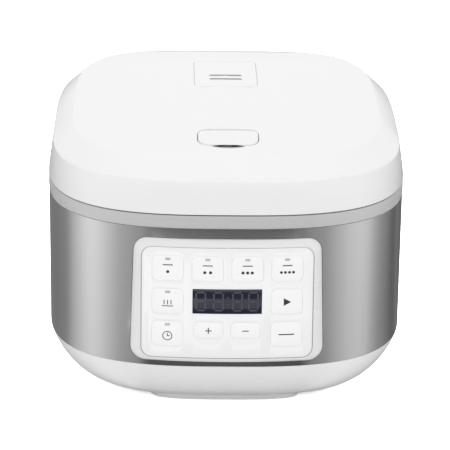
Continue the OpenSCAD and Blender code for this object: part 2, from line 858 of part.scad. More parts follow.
module heating_element() color("dimgray") {
    translate([0, pot_y, z_plate]) {
        rotate([0, 0, 10]) rotate_extrude(angle = 340) translate([element_r, 0]) circle(tube_r);
        for (s = [-1, 1]) rotate(s * 14) translate([element_r, 0, -leg_h + gap])
            cylinder(r = tube_r / 2, h = leg_h - gap);
    }
}

module thermal_fuse() color("ivory") {
    y = pot_y - fuse_in;
    z = z_plate - fuse_r - 1;
    rod_x(-fuse_len / 2, fuse_len / 2, y, z, fuse_r);
    box([-fuse_len / 4, y - fuse_r, z], [fuse_len / 4, y + fuse_r, z_plate]);
}

module sensor_post() color("darkgray") {
    translate([0, pot_y, 0]) difference() {
        union() {
            translate([0, 0, z_shield_top]) cylinder(r = sensor_r - skirt_t, h = post_flange_t);
            translate([0, 0, z_shield_top]) cylinder(r = sensor_r / 2, h = leg_h + 2);
        }
        translate([0, 0, z_shield_top - 1]) cylinder(r = sensor_r / 4, h = leg_h + 4);
    }
}

module sensor_spring() color("silver") {
    translate([0, pot_y, z_shield_top + post_flange_t])
        coil(sensor_r * 0.65, sensor_wire, z_plate_top - sensor_t - z_shield_top - post_flange_t, 5);
}

module sensor_cap() color("gainsboro") {
    skirt_h = plate_t;
    translate([0, pot_y, 0]) difference() {
        translate([0, 0, z_plate_top - skirt_h]) cylinder(r = sensor_r, h = skirt_h);
        translate([0, 0, z_plate_top - skirt_h - 1])
            cylinder(r = sensor_r - skirt_t, h = skirt_h - sensor_t + 1);
    }
}

module inner_pot() color("dimgray") {
    r = pot_r;
    c = pot_corner;
    outer = [for (a = [0:10:90]) [r - c + c * sin(a), z_pot + c - c * cos(a)]];
    inner = [for (a = [90:-10:0])
        [r - c + (c - pot_t) * sin(a), z_pot + c - (c - pot_t) * cos(a)]];
    translate([0, pot_y, 0]) rotate_extrude() polygon(concat([[0, z_pot]], outer,
        [[r, z_rim], [rim_r, z_rim], [rim_r, z_rim_top], [r - pot_t, z_rim_top]], inner,
        [[0, z_pot + pot_t]]));
}

// ---------- control panel ----------

// Panel outline bent onto the panel's curve at a height t over the band
function frame_ring(top_w, low_w, h, r, t) =
    [for (p = trapezoid(top_w, low_w, h, r))
        [p[0], panel_axis - sqrt(pow(panel_curve + t, 2) - p[0] * p[0]), panel_z + p[1]]];

function flat_ring(top_w, low_w, h, r, y) =
    [for (p = trapezoid(top_w, low_w, h, r)) [p[0], y, panel_z + p[1]]];

module panel_frame() color("white") {
    ow = fascia_w + 2 * groove;
    oh = fascia_h + 2 * groove;
    orr = fascia_r + groove;
    rw = fascia_w - 2 * rest_w;
    rh = fascia_h - 2 * rest_w;
    rr = fascia_r - rest_w / 2;
    difference() {
        loft_loop([
            flat_ring(frame_top_w, frame_low_w, frame_h, frame_r, frame_back_y),
            [for (p = trapezoid(frame_top_w, frame_low_w, frame_h, frame_r))
                [p[0], front_y(p[0], panel_seat) - 0.4, panel_z + p[1]]],
            frame_ring(ow + 2 * lip_w, ow + 2 * lip_w, oh + 2 * lip_w, orr + lip_w, panel_rise),
            frame_ring(ow, ow, oh, orr, panel_rise),
            frame_ring(ow, ow, oh, orr, face_back - seat_gap),
            frame_ring(rw, rw, rh, rr, face_back - seat_gap),
            flat_ring(rw, rw, rh, rr, frame_back_y)]);
        panel_screw_spots(frame_back_y + 1)
            cylinder(r = screw_r + pin_fit, h = screw_len - board_t - carrier_t + 2);
    }
}

module panel_fascia() color("white") {
    difference() {
        on_panel(0, 0, face_back, face_out) rounded(fascia_w, fascia_h, fascia_r);
        for (k = KEYS) translate([k[0], 0, panel_z + k[1]])
            along_y(panel_y - panel_rise - 3, panel_y + frame_back)
                rounded(k[2] + 2 * gap, k[3] + 2 * gap, key_r + gap);
        translate([0, 0, panel_z + window_up])
            along_y(panel_y - panel_rise - 3, panel_y + frame_back)
                square([window_w + 2 * seat_gap, window_h + 2 * seat_gap], center = true);
    }
}

module display_window() color("midnightblue") {
    on_panel(0, window_up, face_back, face_out - 0.1) square([window_w, window_h], center = true);
}

module lens_figure(k, clear) {
    translate([0, k[3] / 2 - lens_down])
        square([lens_w + 2 * clear, lens_h + 2 * clear], center = true);
}

// One key: cap, retaining flange and stem; the indicator's light passes through it
module panel_key(i) color("white") {
    k = KEYS[i];
    back = face_back - gap - key_flange_t;
    difference() {
        union() {
            on_panel(k[0], k[1], back, face_out + key_out) rounded(k[2], k[3], key_r);
            on_panel(k[0], k[1], back, back + key_flange_t)
                rounded(k[2] + 2 * key_flange, k[3] + 2 * key_flange, key_r + key_flange);
            translate([k[0], stem_y, panel_z + k[1]]) rotate([90, 0, 0])
                cylinder(r = stem_r, h = stem_y - panel_y + face_back);
        }
        if (k[4] == 1) translate([k[0], 0, panel_z + k[1]])
            along_y(panel_y - panel_rise - 3, board_y) lens_figure(k, gap);
    }
}

module indicator_lenses() color("lightgray") {
    for (k = KEYS) if (k[4] == 1) intersection() {
        translate([k[0], 0, panel_z + k[1]]) along_y(panel_y - panel_rise - 3, board_y)
            lens_figure(k, 0);
        curved_slab(-panel_curve / 2, face_out + key_out - 0.1);
    }
}

module board_figure() {
    difference() {
        rounded(board_w, board_h, frame_r / 2);
        for (x = [-1, 1], z = [-1, 1]) translate([x * panel_screw_x, z * panel_screw_z])
            circle(screw_r + pin_fit);
    }
}

module board_carrier() color("gainsboro") {
    translate([0, 0, panel_z]) along_y(frame_back_y, board_y) difference() {
        board_figure();
        square([fascia_w - 2 * rest_w, fascia_h - 2 * rest_w], center = true);
    }
}

module standoff_spots() {
    for (x = [-1, 1], z = [-1, 1])
        translate([x * (power_w / 2 - standoff_in), z * (power_h / 2 - standoff_in)]) children();
}

module control_board() color("darkgreen") {
    translate([0, 0, panel_z]) along_y(board_y, board_y + board_t) board_figure();
}

module display_module() color("dimgray") {
    translate([0, 0, panel_z + window_up]) along_y(board_y - module_t, board_y)
        square([window_w + 2, window_h + 1], center = true);
}

module key_switches() color("silver") {
    for (k = KEYS) translate([k[0], 0, panel_z + k[1]]) {
        along_y(board_y - switch_h + 1, board_y) square(switch_w, center = true);
        along_y(board_y - switch_h, board_y - switch_h + 1) circle(switch_w / 4);
    }
}

module board_standoffs() color("goldenrod") {
    translate([0, 0, panel_z]) along_y(board_y + board_t, power_y) standoff_spots() circle(standoff_r);
}

module power_board() color("olive") {
    translate([0, 0, panel_z]) along_y(power_y, power_y + board_t)
        square([power_w, power_h], center = true);
}

module on_power_board(x, z) {
    translate([x, power_y + board_t, panel_z + z]) children();
}

module transformer() color("goldenrod") {
    on_power_board(part_in - power_w / 2, power_h / 11) {
        along_y(0, power_part_h) square([coil_w, coil_h], center = true);
        along_y(power_part_h / 5, power_part_h * 4 / 5) square([core_w, core_h], center = true);
    }
}

module relay() color("royalblue") {
    on_power_board(power_w / 2 - part_in, power_h / 5) along_y(0, power_part_h)
        square([relay_w, relay_h], center = true);
}

// Three capacitors, each a share of the board's width and height and of the largest radius
module capacitors() color("navy") {
    for (p = [[0.25, -0.21, 1], [0.4, -0.18, 0.8], [0.1, -0.3, 0.7]])
        on_power_board(p[0] * power_w, p[1] * power_h)
            along_y(0, 2.4 * p[2] * capacitor_r) circle(p[2] * capacitor_r);
}

module body_screws() color("gray") {
    pillar_spots() translate([0, 0, foot_h]) screw();
    panel_screw_spots(board_y + board_t) screw();
}

// ---------- back panel, dew cup and power inlet ----------

module back_panel() color("whitesmoke") {
    skin = panel_seat - back_rise;
    shelf_z = cup_z - gap - cup_t;
    difference() {
        union() {
            difference() {
                intersection() {
                    prism(skin, z_band, z_collar);
                    back_shape(0);
                }
                intersection() {
                    prism(skin + wall, z_band - 1, z_collar + 1);
                    back_shape(-wall);
                }
                prism(case_in, z_band - 1, z_collar + 1);
            }
            for (s = [-1, 1]) box(
                [s * (cup_w / 2 + gap + cup_t / 2) - cup_t / 2, cup_y, shelf_z],
                [s * (cup_w / 2 + gap + cup_t / 2) + cup_t / 2, back_face - wall / 2, cup_z + cup_h]);
            box([-cup_w / 2 - gap - cup_t, cup_y, shelf_z],
                [cup_w / 2 + gap + cup_t, back_face - wall / 2, cup_z - gap]);
        }
        box([-cup_w / 2 - gap, cup_y - 1, cup_z - gap], [cup_w / 2 + gap, far, cup_z + cup_h + gap]);
        box([inlet_x - inlet_w / 2 - seat_gap, 0, inlet_z - inlet_h / 2 - seat_gap],
            [inlet_x + inlet_w / 2 + seat_gap, far, inlet_z + inlet_h / 2 + seat_gap]);
    }
}

module dew_cup() color("gainsboro") {
    difference() {
        intersection() {
            box([-cup_w / 2, cup_y, cup_z], [cup_w / 2, back_face + 1, cup_z + cup_h]);
            prism(panel_seat - back_rise, 0, z_top);
        }
        box([-cup_w / 2 + cup_t, cup_y + cup_t, cup_z + cup_t],
            [cup_w / 2 - cup_t, back_face - 2 * cup_t - 1, z_top]);
        rod_x(-cup_w / 5, cup_w / 5, back_face + finger_r - finger_in, cup_z + cup_h / 2, finger_r);
    }
}

module power_inlet() color("dimgray") {
    difference() {
        translate([inlet_x, 0, inlet_z]) along_y(inlet_face - inlet_d, inlet_face)
            rounded(inlet_w, inlet_h, 3);
        translate([inlet_x, 0, inlet_z]) along_y(inlet_face - inlet_d + 2 * inlet_t, inlet_face + 1)
            rounded(inlet_w - 2 * inlet_t, inlet_h - 2 * inlet_t, 2);
        prong_holes(pin_fit);
    }
}

module prong_holes(clear) {
    w = inlet_w / 5;
    h = inlet_h / 12;
    for (p = [[-w, -h], [w, -h], [0, 2 * h]]) translate([inlet_x + p[0], 0, inlet_z + p[1]])
        along_y(inlet_face - inlet_d - prong_out, inlet_face - prong_out) circle(prong_r + clear);
}

module inlet_prongs() color("gold") {
    prong_holes(0);
}

// ---------- lid ----------

// The lid's whole outer form drawn in by d, standing on z0
module lid_form(d, z0) {
    loft(concat([ring(d, z0), ring(side_in + d, z_break - d / 2), ring(top_in + d / 2, z_edge - d)],
        [for (k = [0.9, 0.76, 0.6, 0.42, 0.12])
            ring(top_in, z_edge + crown_h * (k < 0.2 ? 1 : 1 - k * k) - d, k)]));
}

// Room in front of the hinge, drawn in by d
module lid_room(d) {
    difference() {
        box([-far, -far, 0], [far, hinge_y - hinge_lip - d, far]);
        rod_x(-far, far, hinge_y, hinge_z, hinge_r + hinge_gap + d);
        box([-far - 1, lid_back - d, -1], [far + 1, far, hinge_z]);
    }
}

// Room of the fixed rear cover, drawn in by d
module cover_room(d) {
    rod_x(-far, far, hinge_y, hinge_z, hinge_r - d);
    box([-far, hinge_y - hinge_r + d, 0], [far, far, hinge_z]);
    box([-far, hinge_y, 0], [far, far, far]);
}

module steam_figure(clear) {
    translate([0, steam_mid]) rounded(steam_w + 2 * clear, steam_d + 2 * clear, steam_r + clear);
}

module button_figure(clear) {
    translate([0, button_mid]) rounded(button_w + 2 * clear, button_d + 2 * clear, 8 + clear);
}

module cover_screw_spots() {
    for (x = [-1, 1], y = [-1, 1]) translate([x * cover_screw_x, y * cover_screw_y, 0]) children();
}

module lid_cover() color("white") {
    difference() {
        union() {
            difference() {
                intersection() {
                    lid_form(0, z_lid);
                    lid_room(0);
                }
                intersection() {
                    lid_form(wall, z_lid - 1);
                    lid_room(wall);
                }
            }
            intersection() {
                lid_form(wall / 2, z_lid);
                union() {
                    cover_screw_spots() translate([0, 0, z_liner_top])
                        cylinder(r = screw_r + wall, h = far);
                    for (s = [-1, 1]) {
                        x = s * (arm_x + arm_w / 2) - arm_w / 2;
                        rod_x(x, x + arm_w, hinge_y, hinge_z, hinge_r - hinge_gap);
                        box([x, lid_back - 1.5 * wall, hinge_z - hinge_r + hinge_gap],
                            [x + arm_w, hinge_y, hinge_z + hinge_r / 3]);
                    }
                }
            }
        }
        translate([0, 0, z_edge - 10]) linear_extrude(far) {
            steam_figure(gap);
            button_figure(gap);
        }
        rod_x(-far, far, hinge_y, hinge_z, pin_r + pin_fit);
        cover_screw_spots() translate([0, 0, z_liner_top - 1])
            cylinder(r = screw_r + pin_fit, h = screw_len);
    }
}

module lid_liner() color("gainsboro") {
    difference() {
        intersection() {
            prism(liner_in, z_liner, z_liner_top);
            box([-far, -far, 0], [far, lid_back - wall - gap, far]);
        }
        translate([0, vent_y, z_liner - 1]) cylinder(r = vent_r, h = wall + 2);
        cover_screw_spots() translate([0, 0, z_liner - 1])
            cylinder(r = screw_r + pin_fit, h = wall + 2);
        latch_slot(latch_t * 3);
    }
}

module inner_lid() color("silver") {
    r = inner_lid_r;
    t = inner_lid_t;
    z = z_liner - inner_lid_dish;
    difference() {
        translate([0, pot_y, 0]) rotate_extrude() polygon([
            [0, z - t], [r - 14, z - t], [r - 10, z_liner - t], [r - 1, z_liner - t],
            [r - 1, z_liner - 3], [r, z_liner - 3], [r, z_liner], [r - 10.5, z_liner],
            [r - 14.5, z], [0, z]]);
        translate([0, vent_y, z - 2 * t]) for (a = [0:60:300]) rotate(a)
            translate([vent_r * 2 / 3, 0, 0]) cylinder(r = vent_r / 5, h = 4 * t);
    }
}

module lid_gasket() color("lightgray") {
    z = z_rim_top + gap;
    r = gasket_r;
    translate([0, pot_y, 0]) rotate_extrude() polygon([
        [r - gasket_w, z + 1], [r - 1, z], [r, z + 0.6], [r - 0.8, z + 2],
        [r, z + 3], [r, z_liner], [r - gasket_w, z_liner]]);
}

module lid_heater() color("tan") {
    translate([0, pot_y, z_liner_top]) difference() {
        cylinder(r = inner_lid_r - 12, h = lid_heater_t);
        translate([0, 0, -1]) cylinder(r = inner_lid_r / 2, h = lid_heater_t + 2);
    }
}

module lid_screws() color("gray") {
    cover_screw_spots() translate([0, 0, z_liner]) screw();
}

module steam_well() color("white") {
    skirt = well_t + gap;
    difference() {
        union() {
            intersection() {
                translate([0, 0, z_well - well_t]) linear_extrude(far) steam_figure(skirt);
                lid_form(wall + seat_gap, z_lid);
            }
            translate([0, vent_y, z_liner_top])
                cylinder(r = vent_r + well_t, h = z_well - z_liner_top - eps);
        }
        translate([0, 0, z_well]) linear_extrude(far) steam_figure(gap);
        translate([0, vent_y, z_liner_top - 1]) cylinder(r = vent_r, h = far);
    }
}

module steam_cap() color("white") {
    difference() {
        intersection() {
            translate([0, 0, z_well + gap]) linear_extrude(far) steam_figure(0);
            lid_form(0, z_lid);
        }
        intersection() {
            translate([0, 0, z_well - 1]) linear_extrude(far) steam_figure(-well_t);
            lid_form(well_t, z_lid);
        }
        for (i = [0, 1]) translate([0, steam_y + slot_in + i * slot_pitch, z_well + 2])
            linear_extrude(far) rounded(slot_len, slot_w, slot_w / 2 - eps);
    }
}

module steam_cap_base() color("gainsboro") {
    difference() {
        union() {
            translate([0, 0, z_well + gap]) linear_extrude(well_t) steam_figure(-well_t - seat_gap);
            translate([0, vent_y, z_well - spout_len]) cylinder(r = spout_r, h = spout_len + well_t);
        }
        translate([0, vent_y, z_well - spout_len - 1])
            cylinder(r = spout_r - seal_t, h = spout_len + 2 * well_t + 1);
    }
}

module steam_seal() color("lightgray") {
    translate([0, vent_y, z_well - seal_h - 2]) difference() {
        cylinder(r = spout_r + seal_t, h = seal_h);
        translate([0, 0, -1]) cylinder(r = spout_r + pin_fit, h = seal_h + 2);
    }
}

// ---------- lid lock ----------

module release_button() color("white") {
    roof = crown_z(0, button_y + button_d) + button_proud - button_roof_r;
    difference() {
        union() {
            intersection() {
                translate([0, 0, z_edge - 2]) linear_extrude(far) button_figure(0);
                rod_x(-far, far, button_y + button_d + 4, roof, button_roof_r, $fn = fine_fn);
            }
            translate([0, 0, z_edge - 2]) linear_extrude(button_flange_t)
                button_figure(button_flange);
        }
        translate([0, 0, z_edge - 3]) linear_extrude(button_hollow + 1) button_figure(-wall);
    }
    for (s = [-1, 1]) box(
        [s * fork_x - push_w / 2, button_mid - push_w / 2, latch_z + latch_t + gap],
        [s * fork_x + push_w / 2, button_mid + push_w / 2, z_edge + push_w]);
    translate([0, button_mid, z_edge - plunger_len])
        cylinder(r = plunger_r, h = plunger_len + push_w);
}

module button_spring() color("silver") {
    z0 = z_liner_top + wall;
    translate([0, button_mid, z0])
        coil(plunger_r - button_wire, button_wire, z_edge - plunger_len - z0, 6);
}

module latch_bracket() color("darkgray") {
    x1 = latch_w / 2 + gap;
    x2 = x1 + bracket_t;
    box([-x2, latch_y - cheek_r, z_liner_top], [x2, button_mid + 2 * push_w, z_liner_top + wall]);
    for (s = [-1, 1]) {
        mid = s * (x1 + x2) / 2;
        box([mid - bracket_t / 2, latch_y - cheek_r, z_liner_top],
            [mid + bracket_t / 2, latch_y + cheek_r, latch_z + cheek_r]);
    }
    rod_x(-x2, x2, latch_y, latch_z, latch_pin_r);
}

module lid_latch() color("gainsboro") {
    w = latch_w / 2;
    difference() {
        union() {
            rod_x(-w, w, latch_y, latch_z, latch_pin_r + latch_t);
            for (s = [-1, 1]) box([s * fork_x - push_w, latch_y, latch_z],
                [s * fork_x + push_w, button_mid + push_w, latch_z + latch_t]);
            box([-w, hook_y, latch_z - latch_t], [w, latch_y, latch_z]);
            box([-w, hook_y, z_beak - latch_t], [w, hook_y + latch_t, latch_z]);
            box([-w, hook_y, z_beak - latch_t], [w, hook_y + 2 * latch_t, z_beak]);
        }
        rod_x(-far, far, latch_y, latch_z, latch_pin_r + pin_fit);
    }
}

// ---------- hinge ----------

module hinge_cover() color("white") {
    ears = [[arm_x - gap - ear_t, arm_x - gap], [arm_x + arm_w + gap, arm_x + arm_w + gap + ear_t]];
    difference() {
        intersection() {
            lid_form(0, z_seam);
            cover_room(0);
        }
        difference() {
            intersection() {
                lid_form(wall, z_seam - 1);
                cover_room(wall);
            }
            for (s = [-1, 1], e = ears) {
                mid = s * (e[0] + e[1]) / 2;
                box([mid - ear_t / 2, 0, 0], [mid + ear_t / 2, far, far]);
            }
        }
        for (s = [-1, 1]) {
            x0 = s * (arm_x + arm_w / 2) - arm_w / 2 - gap;
            x1 = x0 + arm_w + 2 * gap;
            rod_x(x0, x1, hinge_y, hinge_z, hinge_r + hinge_gap);
            box([x0, hinge_y - 2 * hinge_r, hinge_z - hinge_r], [x1, hinge_y, far]);
        }
        rod_x(-pin_end - eps, pin_end + eps, hinge_y, hinge_z, pin_r + pin_fit);
    }
    for (s = [-1, 1], e = ears) {
        mid = s * (e[0] + e[1]) / 2;
        box([mid - ear_t / 2, hinge_y - hinge_r, z_deck],
            [mid + ear_t / 2, hinge_y + hinge_r, z_seam + eps]);
    }
}

module hinge_pin() color("silver") {
    rod_x(-pin_end, pin_end, hinge_y, hinge_z, pin_r);
}

module hinge_springs() color("silver") {
    r = pin_r + hinge_wire + gap;
    pitch = 2 * hinge_wire + gap;
    steps = 12;
    for (s = [-1, 1]) {
        n = hinge_turns * steps;
        turns = [for (i = [0:n])
            [s * (arm_x - gap - ear_t - hinge_wire - gap - pitch * i / steps),
             hinge_y + r * cos(360 * i / steps), hinge_z + r * sin(360 * i / steps)]];
        leg = [turns[0][0], hinge_y + r, z_seam];
        wire(concat([leg, leg + [0, 0, hinge_r]], turns), hinge_wire, [1, 0, 0]);
    }
}

base_tub();
foot_bars();
foot_pads();
outer_case();
steel_band();
collar_ring();
upper_deck();
pot_shield();
heater_plate();
heating_element();
thermal_fuse();
sensor_post();
panel_frame();
panel_fascia();
display_window();
indicator_lenses();
board_carrier();
control_board();
display_module();
key_switches();
board_standoffs();
power_board();
transformer();
relay();
capacitors();
body_screws();
back_panel();
power_inlet();
inlet_prongs();
hinge_cover();
hinge_pin();
hinge_springs();
sensor_spring();
sensor_cap();
inner_pot();
dew_cup();
panel_key(0);  // menu_key_1
panel_key(1);  // menu_key_2
panel_key(2);  // menu_key_3
panel_key(3);  // menu_key_4
panel_key(4);  // warm_key
panel_key(5);  // start_key
panel_key(6);  // timer_key
panel_key(7);  // hour_key
panel_key(8);  // minute_key
panel_key(9);  // cancel_key
lid_cover();
lid_liner();
inner_lid();
lid_gasket();
lid_heater();
lid_screws();
steam_well();
latch_bracket();
button_spring();
steam_cap();
steam_cap_base();
steam_seal();
release_button();
lid_latch();
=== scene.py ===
import json
from math import acos, cos, hypot, pi, radians, sin, sqrt
import bpy
import bmesh
from mathutils import Matrix, Vector

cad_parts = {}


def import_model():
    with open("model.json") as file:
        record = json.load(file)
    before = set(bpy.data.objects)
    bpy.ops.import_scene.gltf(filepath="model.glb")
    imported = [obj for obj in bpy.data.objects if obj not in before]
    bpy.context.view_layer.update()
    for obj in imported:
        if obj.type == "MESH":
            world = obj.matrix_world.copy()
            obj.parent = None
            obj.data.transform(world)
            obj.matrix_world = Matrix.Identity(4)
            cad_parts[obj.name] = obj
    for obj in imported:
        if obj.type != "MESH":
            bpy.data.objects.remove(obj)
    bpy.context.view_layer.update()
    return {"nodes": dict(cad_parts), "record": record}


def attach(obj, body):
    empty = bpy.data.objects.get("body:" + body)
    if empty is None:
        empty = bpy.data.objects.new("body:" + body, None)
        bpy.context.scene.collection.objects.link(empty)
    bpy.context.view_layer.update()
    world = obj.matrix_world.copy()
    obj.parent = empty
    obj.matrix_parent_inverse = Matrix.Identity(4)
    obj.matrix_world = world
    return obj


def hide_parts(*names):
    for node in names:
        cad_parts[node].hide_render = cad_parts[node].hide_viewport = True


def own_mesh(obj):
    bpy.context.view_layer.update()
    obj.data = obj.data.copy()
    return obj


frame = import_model()
scene = bpy.context.scene
mm = 0.001

cameraView = {"target": (0, -26.5, 153), "elevation": 18.01, "azimuth": -1.06, "roll": -0.73,
              "distance": 2278.4, "lens": 251.5, "sensor": 36, "shift": (-0.0017, -0.1527),
              "clip": (0.1, 50)}


def makeCamera():
    e, a, r = (radians(cameraView[k]) for k in ("elevation", "azimuth", "roll"))
    away = Vector((sin(a) * cos(e), -cos(a) * cos(e), sin(e)))
    level = Vector((cos(a), sin(a), 0))
    rise = away.cross(level)
    right = level * cos(r) - rise * sin(r)
    up = level * sin(r) + rise * cos(r)
    camera = bpy.data.objects.new("mainCamera", bpy.data.cameras.new("mainCamera"))
    scene.collection.objects.link(camera)
    camera.data.lens, camera.data.sensor_width = cameraView["lens"], cameraView["sensor"]
    camera.data.shift_x, camera.data.shift_y = cameraView["shift"]
    camera.data.clip_start, camera.data.clip_end = cameraView["clip"]
    place = (Vector(cameraView["target"]) + away * cameraView["distance"]) * mm
    camera.matrix_world = Matrix.Translation(place) @ Matrix((right, up, away)).transposed().to_4x4()
    scene.camera = camera


makeCamera()
print("stage: camera")

# Sizes are in millimetres here; pieces are scaled to metres as they are finished
hull = {"width": 255, "front": 123, "rear": 176, "midY": -26.5, "frontPower": 2.95,
            "rearPower": 4.05, "blend": 0.3, "foot": 4, "band": 38, "collar": 140, "seam": 149.4,
            "lid": 150.2, "wallTop": 173.5, "edge": 187.5, "crown": 12.4, "sideIn": 3.1,
            "topIn": 17.3, "wall": 2.4, "potY": -3}
hinge = {"y": 128.5, "z": 180.071, "r": 8, "gap": 0.4, "lip": 5, "armX": 36, "armW": 14, "ear": 4,
         "pinR": 2.25, "side": 0.3}
lidBack = hinge["y"] - hinge["r"] - hinge["gap"]
# Points round the body, and a reach past every form
around, far = 288, 400


def cornerPower(sine):
    share = min(max((sine / hull["blend"] + 1) / 2, 0), 1)
    spread = hull["rearPower"] - hull["frontPower"]
    return hull["frontPower"] + spread * share * share * (3 - 2 * share)


# Outline of the body at a height, drawn in by inset and scaled about its widest section
def ring(inset, z, share=1):
    row = []
    for i in range(around):
        c, s = cos(2 * pi * i / around), sin(2 * pi * i / around)
        width = hull["width"] / 2 - inset
        depth = hull["front" if s < 0 else "rear"] - inset
        power = cornerPower(s)
        r = share * (abs(c / width) ** power + abs(s / depth) ** power) ** (-1 / power)
        row.append(Vector((r * c, r * s + hull["midY"], z)))
    return row


def frontY(x, inset):
    power = hull["frontPower"]
    rest = 1 - (abs(x) / (hull["width"] / 2 - inset)) ** power
    return hull["midY"] - (hull["front"] - inset) * rest ** (1 / power)


def crownZ(x, y):
    dy = y - hull["midY"]
    power = cornerPower(dy / (hypot(x, dy) + 0.01))
    depth = hull["front" if dy < 0 else "rear"] - hull["topIn"]
    width = hull["width"] / 2 - hull["topIn"]
    k = ((abs(x) / width) ** power + (abs(dy) / depth) ** power) ** (1 / power)
    return hull["edge"] + hull["crown"] * (1 - k * k)


# A soft bend from row a over row b to row c
def bend(a, b, c, steps=6):
    return [[p * (1 - t) ** 2 + q * 2 * t * (1 - t) + r * t * t for p, q, r in zip(a, b, c)]
            for t in (i / steps for i in range(steps + 1))]


# Points of an arc about x, z from one angle to another
def arc(x, z, r, start, end, steps):
    turns = (radians(start + (end - start) * i / steps) for i in range(steps + 1))
    return [(x + r * cos(a), z + r * sin(a)) for a in turns]


# Rounded figure of x and z, counter-clockwise; w may be its widths at top and bottom
def rounded(w, h, r, steps=8, run=1, drawn=0):
    topW, lowW = w if isinstance(w, tuple) else (w, w)
    r = max(r - drawn, 0.3)
    points, full = [], []
    for wide, up, side, start in ((lowW, -1, 1, 270), (topW, 1, 1, 0), (topW, 1, -1, 90),
                                  (lowW, -1, -1, 180)):
        points += arc(side * (wide / 2 - drawn - r), up * (h / 2 - drawn - r), r, start,
                      start + 90, steps)
    for i, p in enumerate(points):
        q = points[(i + 1) % len(points)]
        full.append(p)
        if i % (steps + 1) == steps:
            full += [(p[0] + (q[0] - p[0]) * j / run, p[1] + (q[1] - p[1]) * j / run)
                     for j in range(1, run)]
    return full


# Skin through rows of points: a closed loop of rows, or a body with flat ends
def loft(rows, closed=False):
    bm = bmesh.new()
    spot = bm.verts.layers.int.new("spot")
    rowOf = bm.verts.layers.int.new("row")
    bmesh.ops.create_circle(bm, cap_ends=False, segments=len(rows[0]), radius=1)
    for i, v in enumerate(bm.verts):
        v[spot], v.co = i, rows[0][i]
    first = edges = list(bm.edges)
    for n, row in enumerate(rows[1:], 1):
        made = bmesh.ops.extrude_edge_only(bm, edges=edges)["geom"]
        fresh = {g for g in made if isinstance(g, bmesh.types.BMVert)}
        for v in fresh:
            v.co, v[rowOf] = row[v[spot]], n
        edges = [g for g in made if isinstance(g, bmesh.types.BMEdge) and fresh.issuperset(g.verts)]
    if closed:
        bmesh.ops.bridge_loops(bm, edges=first + edges)
    else:
        bmesh.ops.edgeloop_fill(bm, edges=first)
        bmesh.ops.edgeloop_fill(bm, edges=edges)
    bmesh.ops.recalc_face_normals(bm, faces=bm.faces)
    return bm


def bevelled(bm, edges, width, segments):
    bmesh.ops.bevel(bm, geom=edges, offset=width, offset_type="OFFSET", segments=segments,
                    profile=0.5, affect="EDGES", material=-1)
    return bm


def bevelRows(bm, rows, width, segments=3):
    rowOf = bm.verts.layers.int["row"]
    edges = [e for e in bm.edges if e.verts[0][rowOf] == e.verts[1][rowOf] in rows]
    return bevelled(bm, edges, width, segments)


# Chooses edges wholly in front of a place across y
def before(y):
    return lambda e: max(v.co.y for v in e.verts) < y


def bevelSharp(bm, width, turn=40, segments=2, chosen=lambda e: True):
    bmesh.ops.remove_doubles(bm, verts=bm.verts, dist=width / 50)
    bmesh.ops.dissolve_degenerate(bm, edges=bm.edges, dist=width / 20)
    edges = [e for e in bm.edges if len(e.link_faces) == 2
             and e.calc_face_angle(0) > radians(turn) and chosen(e)]
    return bevelled(bm, edges, width, segments)


# Figure of x and z run along y, and figure of x and y run upwards
def alongY(figure, y0, y1):
    return loft([[Vector((x, y, z)) for x, z in figure] for y in (y0, y1)])


def upright(figure, z0, z1, y=0):
    return loft([[Vector((x, y + d, z)) for x, d in figure] for z in (z0, z1)])


def alongX(figure, x0, x1):
    return loft([[Vector((x, y, z)) for y, z in figure] for x in (x0, x1)])


def box(lo, hi):
    bm = bmesh.new()
    bmesh.ops.create_cube(bm, size=1)
    lo, hi = Vector(lo), Vector(hi)
    for v in bm.verts:
        v.co = [(a + b) / 2 + c * (b - a) for a, b, c in zip(lo, hi, v.co)]
    return bm


def rod(start, end, r, segments=48):
    bm = bmesh.new()
    start, end = Vector(start), Vector(end)
    turn = (end - start).to_track_quat("Z", "Y").to_matrix().to_4x4()
    bmesh.ops.create_cone(bm, cap_ends=True, segments=segments, radius1=r, radius2=r,
                          depth=(end - start).length,
                          matrix=Matrix.Translation((start + end) / 2) @ turn)
    return bm


def together(*parts):
    bm = bmesh.new()
    for part in parts:
        mesh = bpy.data.meshes.new("part")
        part.to_mesh(mesh)
        part.free()
        bm.from_mesh(mesh)
        bpy.data.meshes.remove(mesh)
    return bm


def placed(name, bm):
    mesh = bpy.data.meshes.new(name)
    bm.to_mesh(mesh)
    bm.free()
    piece = bpy.data.objects.new(name, mesh)
    scene.collection.objects.link(piece)
    return piece


# A form less its tools, or with another operation of the boolean modifier
def carved(form, *tools, how="DIFFERENCE"):
    base = placed("work", form)
    cutters = [placed("work", tool) for tool in tools]
    for cutter in cutters:
        cut = base.modifiers.new("cut", "BOOLEAN")
        cut.object, cut.operation, cut.solver = cutter, how, "EXACT"
    shown = base.evaluated_get(bpy.context.evaluated_depsgraph_get())
    mesh = bpy.data.meshes.new_from_object(shown)
    bm = bmesh.new()
    bm.from_mesh(mesh)
    bpy.data.meshes.remove(mesh)
    for piece in [base, *cutters]:
        mesh = piece.data
        bpy.data.objects.remove(piece)
        bpy.data.meshes.remove(mesh)
    return bm


# Makes a form a piece that rides on a body, with its slot's look or its own
def detail(name, bm, body, slotName, look=None, turn=32):
    bmesh.ops.scale(bm, vec=(mm, mm, mm), verts=bm.verts)
    bmesh.ops.recalc_face_normals(bm, faces=bm.faces)
    for layer in ("spot", "row"):
        if layer in bm.verts.layers.int:
            bm.verts.layers.int.remove(bm.verts.layers.int[layer])
    piece = placed(name, bm)
    piece.data.shade_smooth()
    piece.data.set_sharp_from_angle(angle=radians(turn))
    piece.data.materials.append(look or materials[slotName])
    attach(piece, body)
    return piece


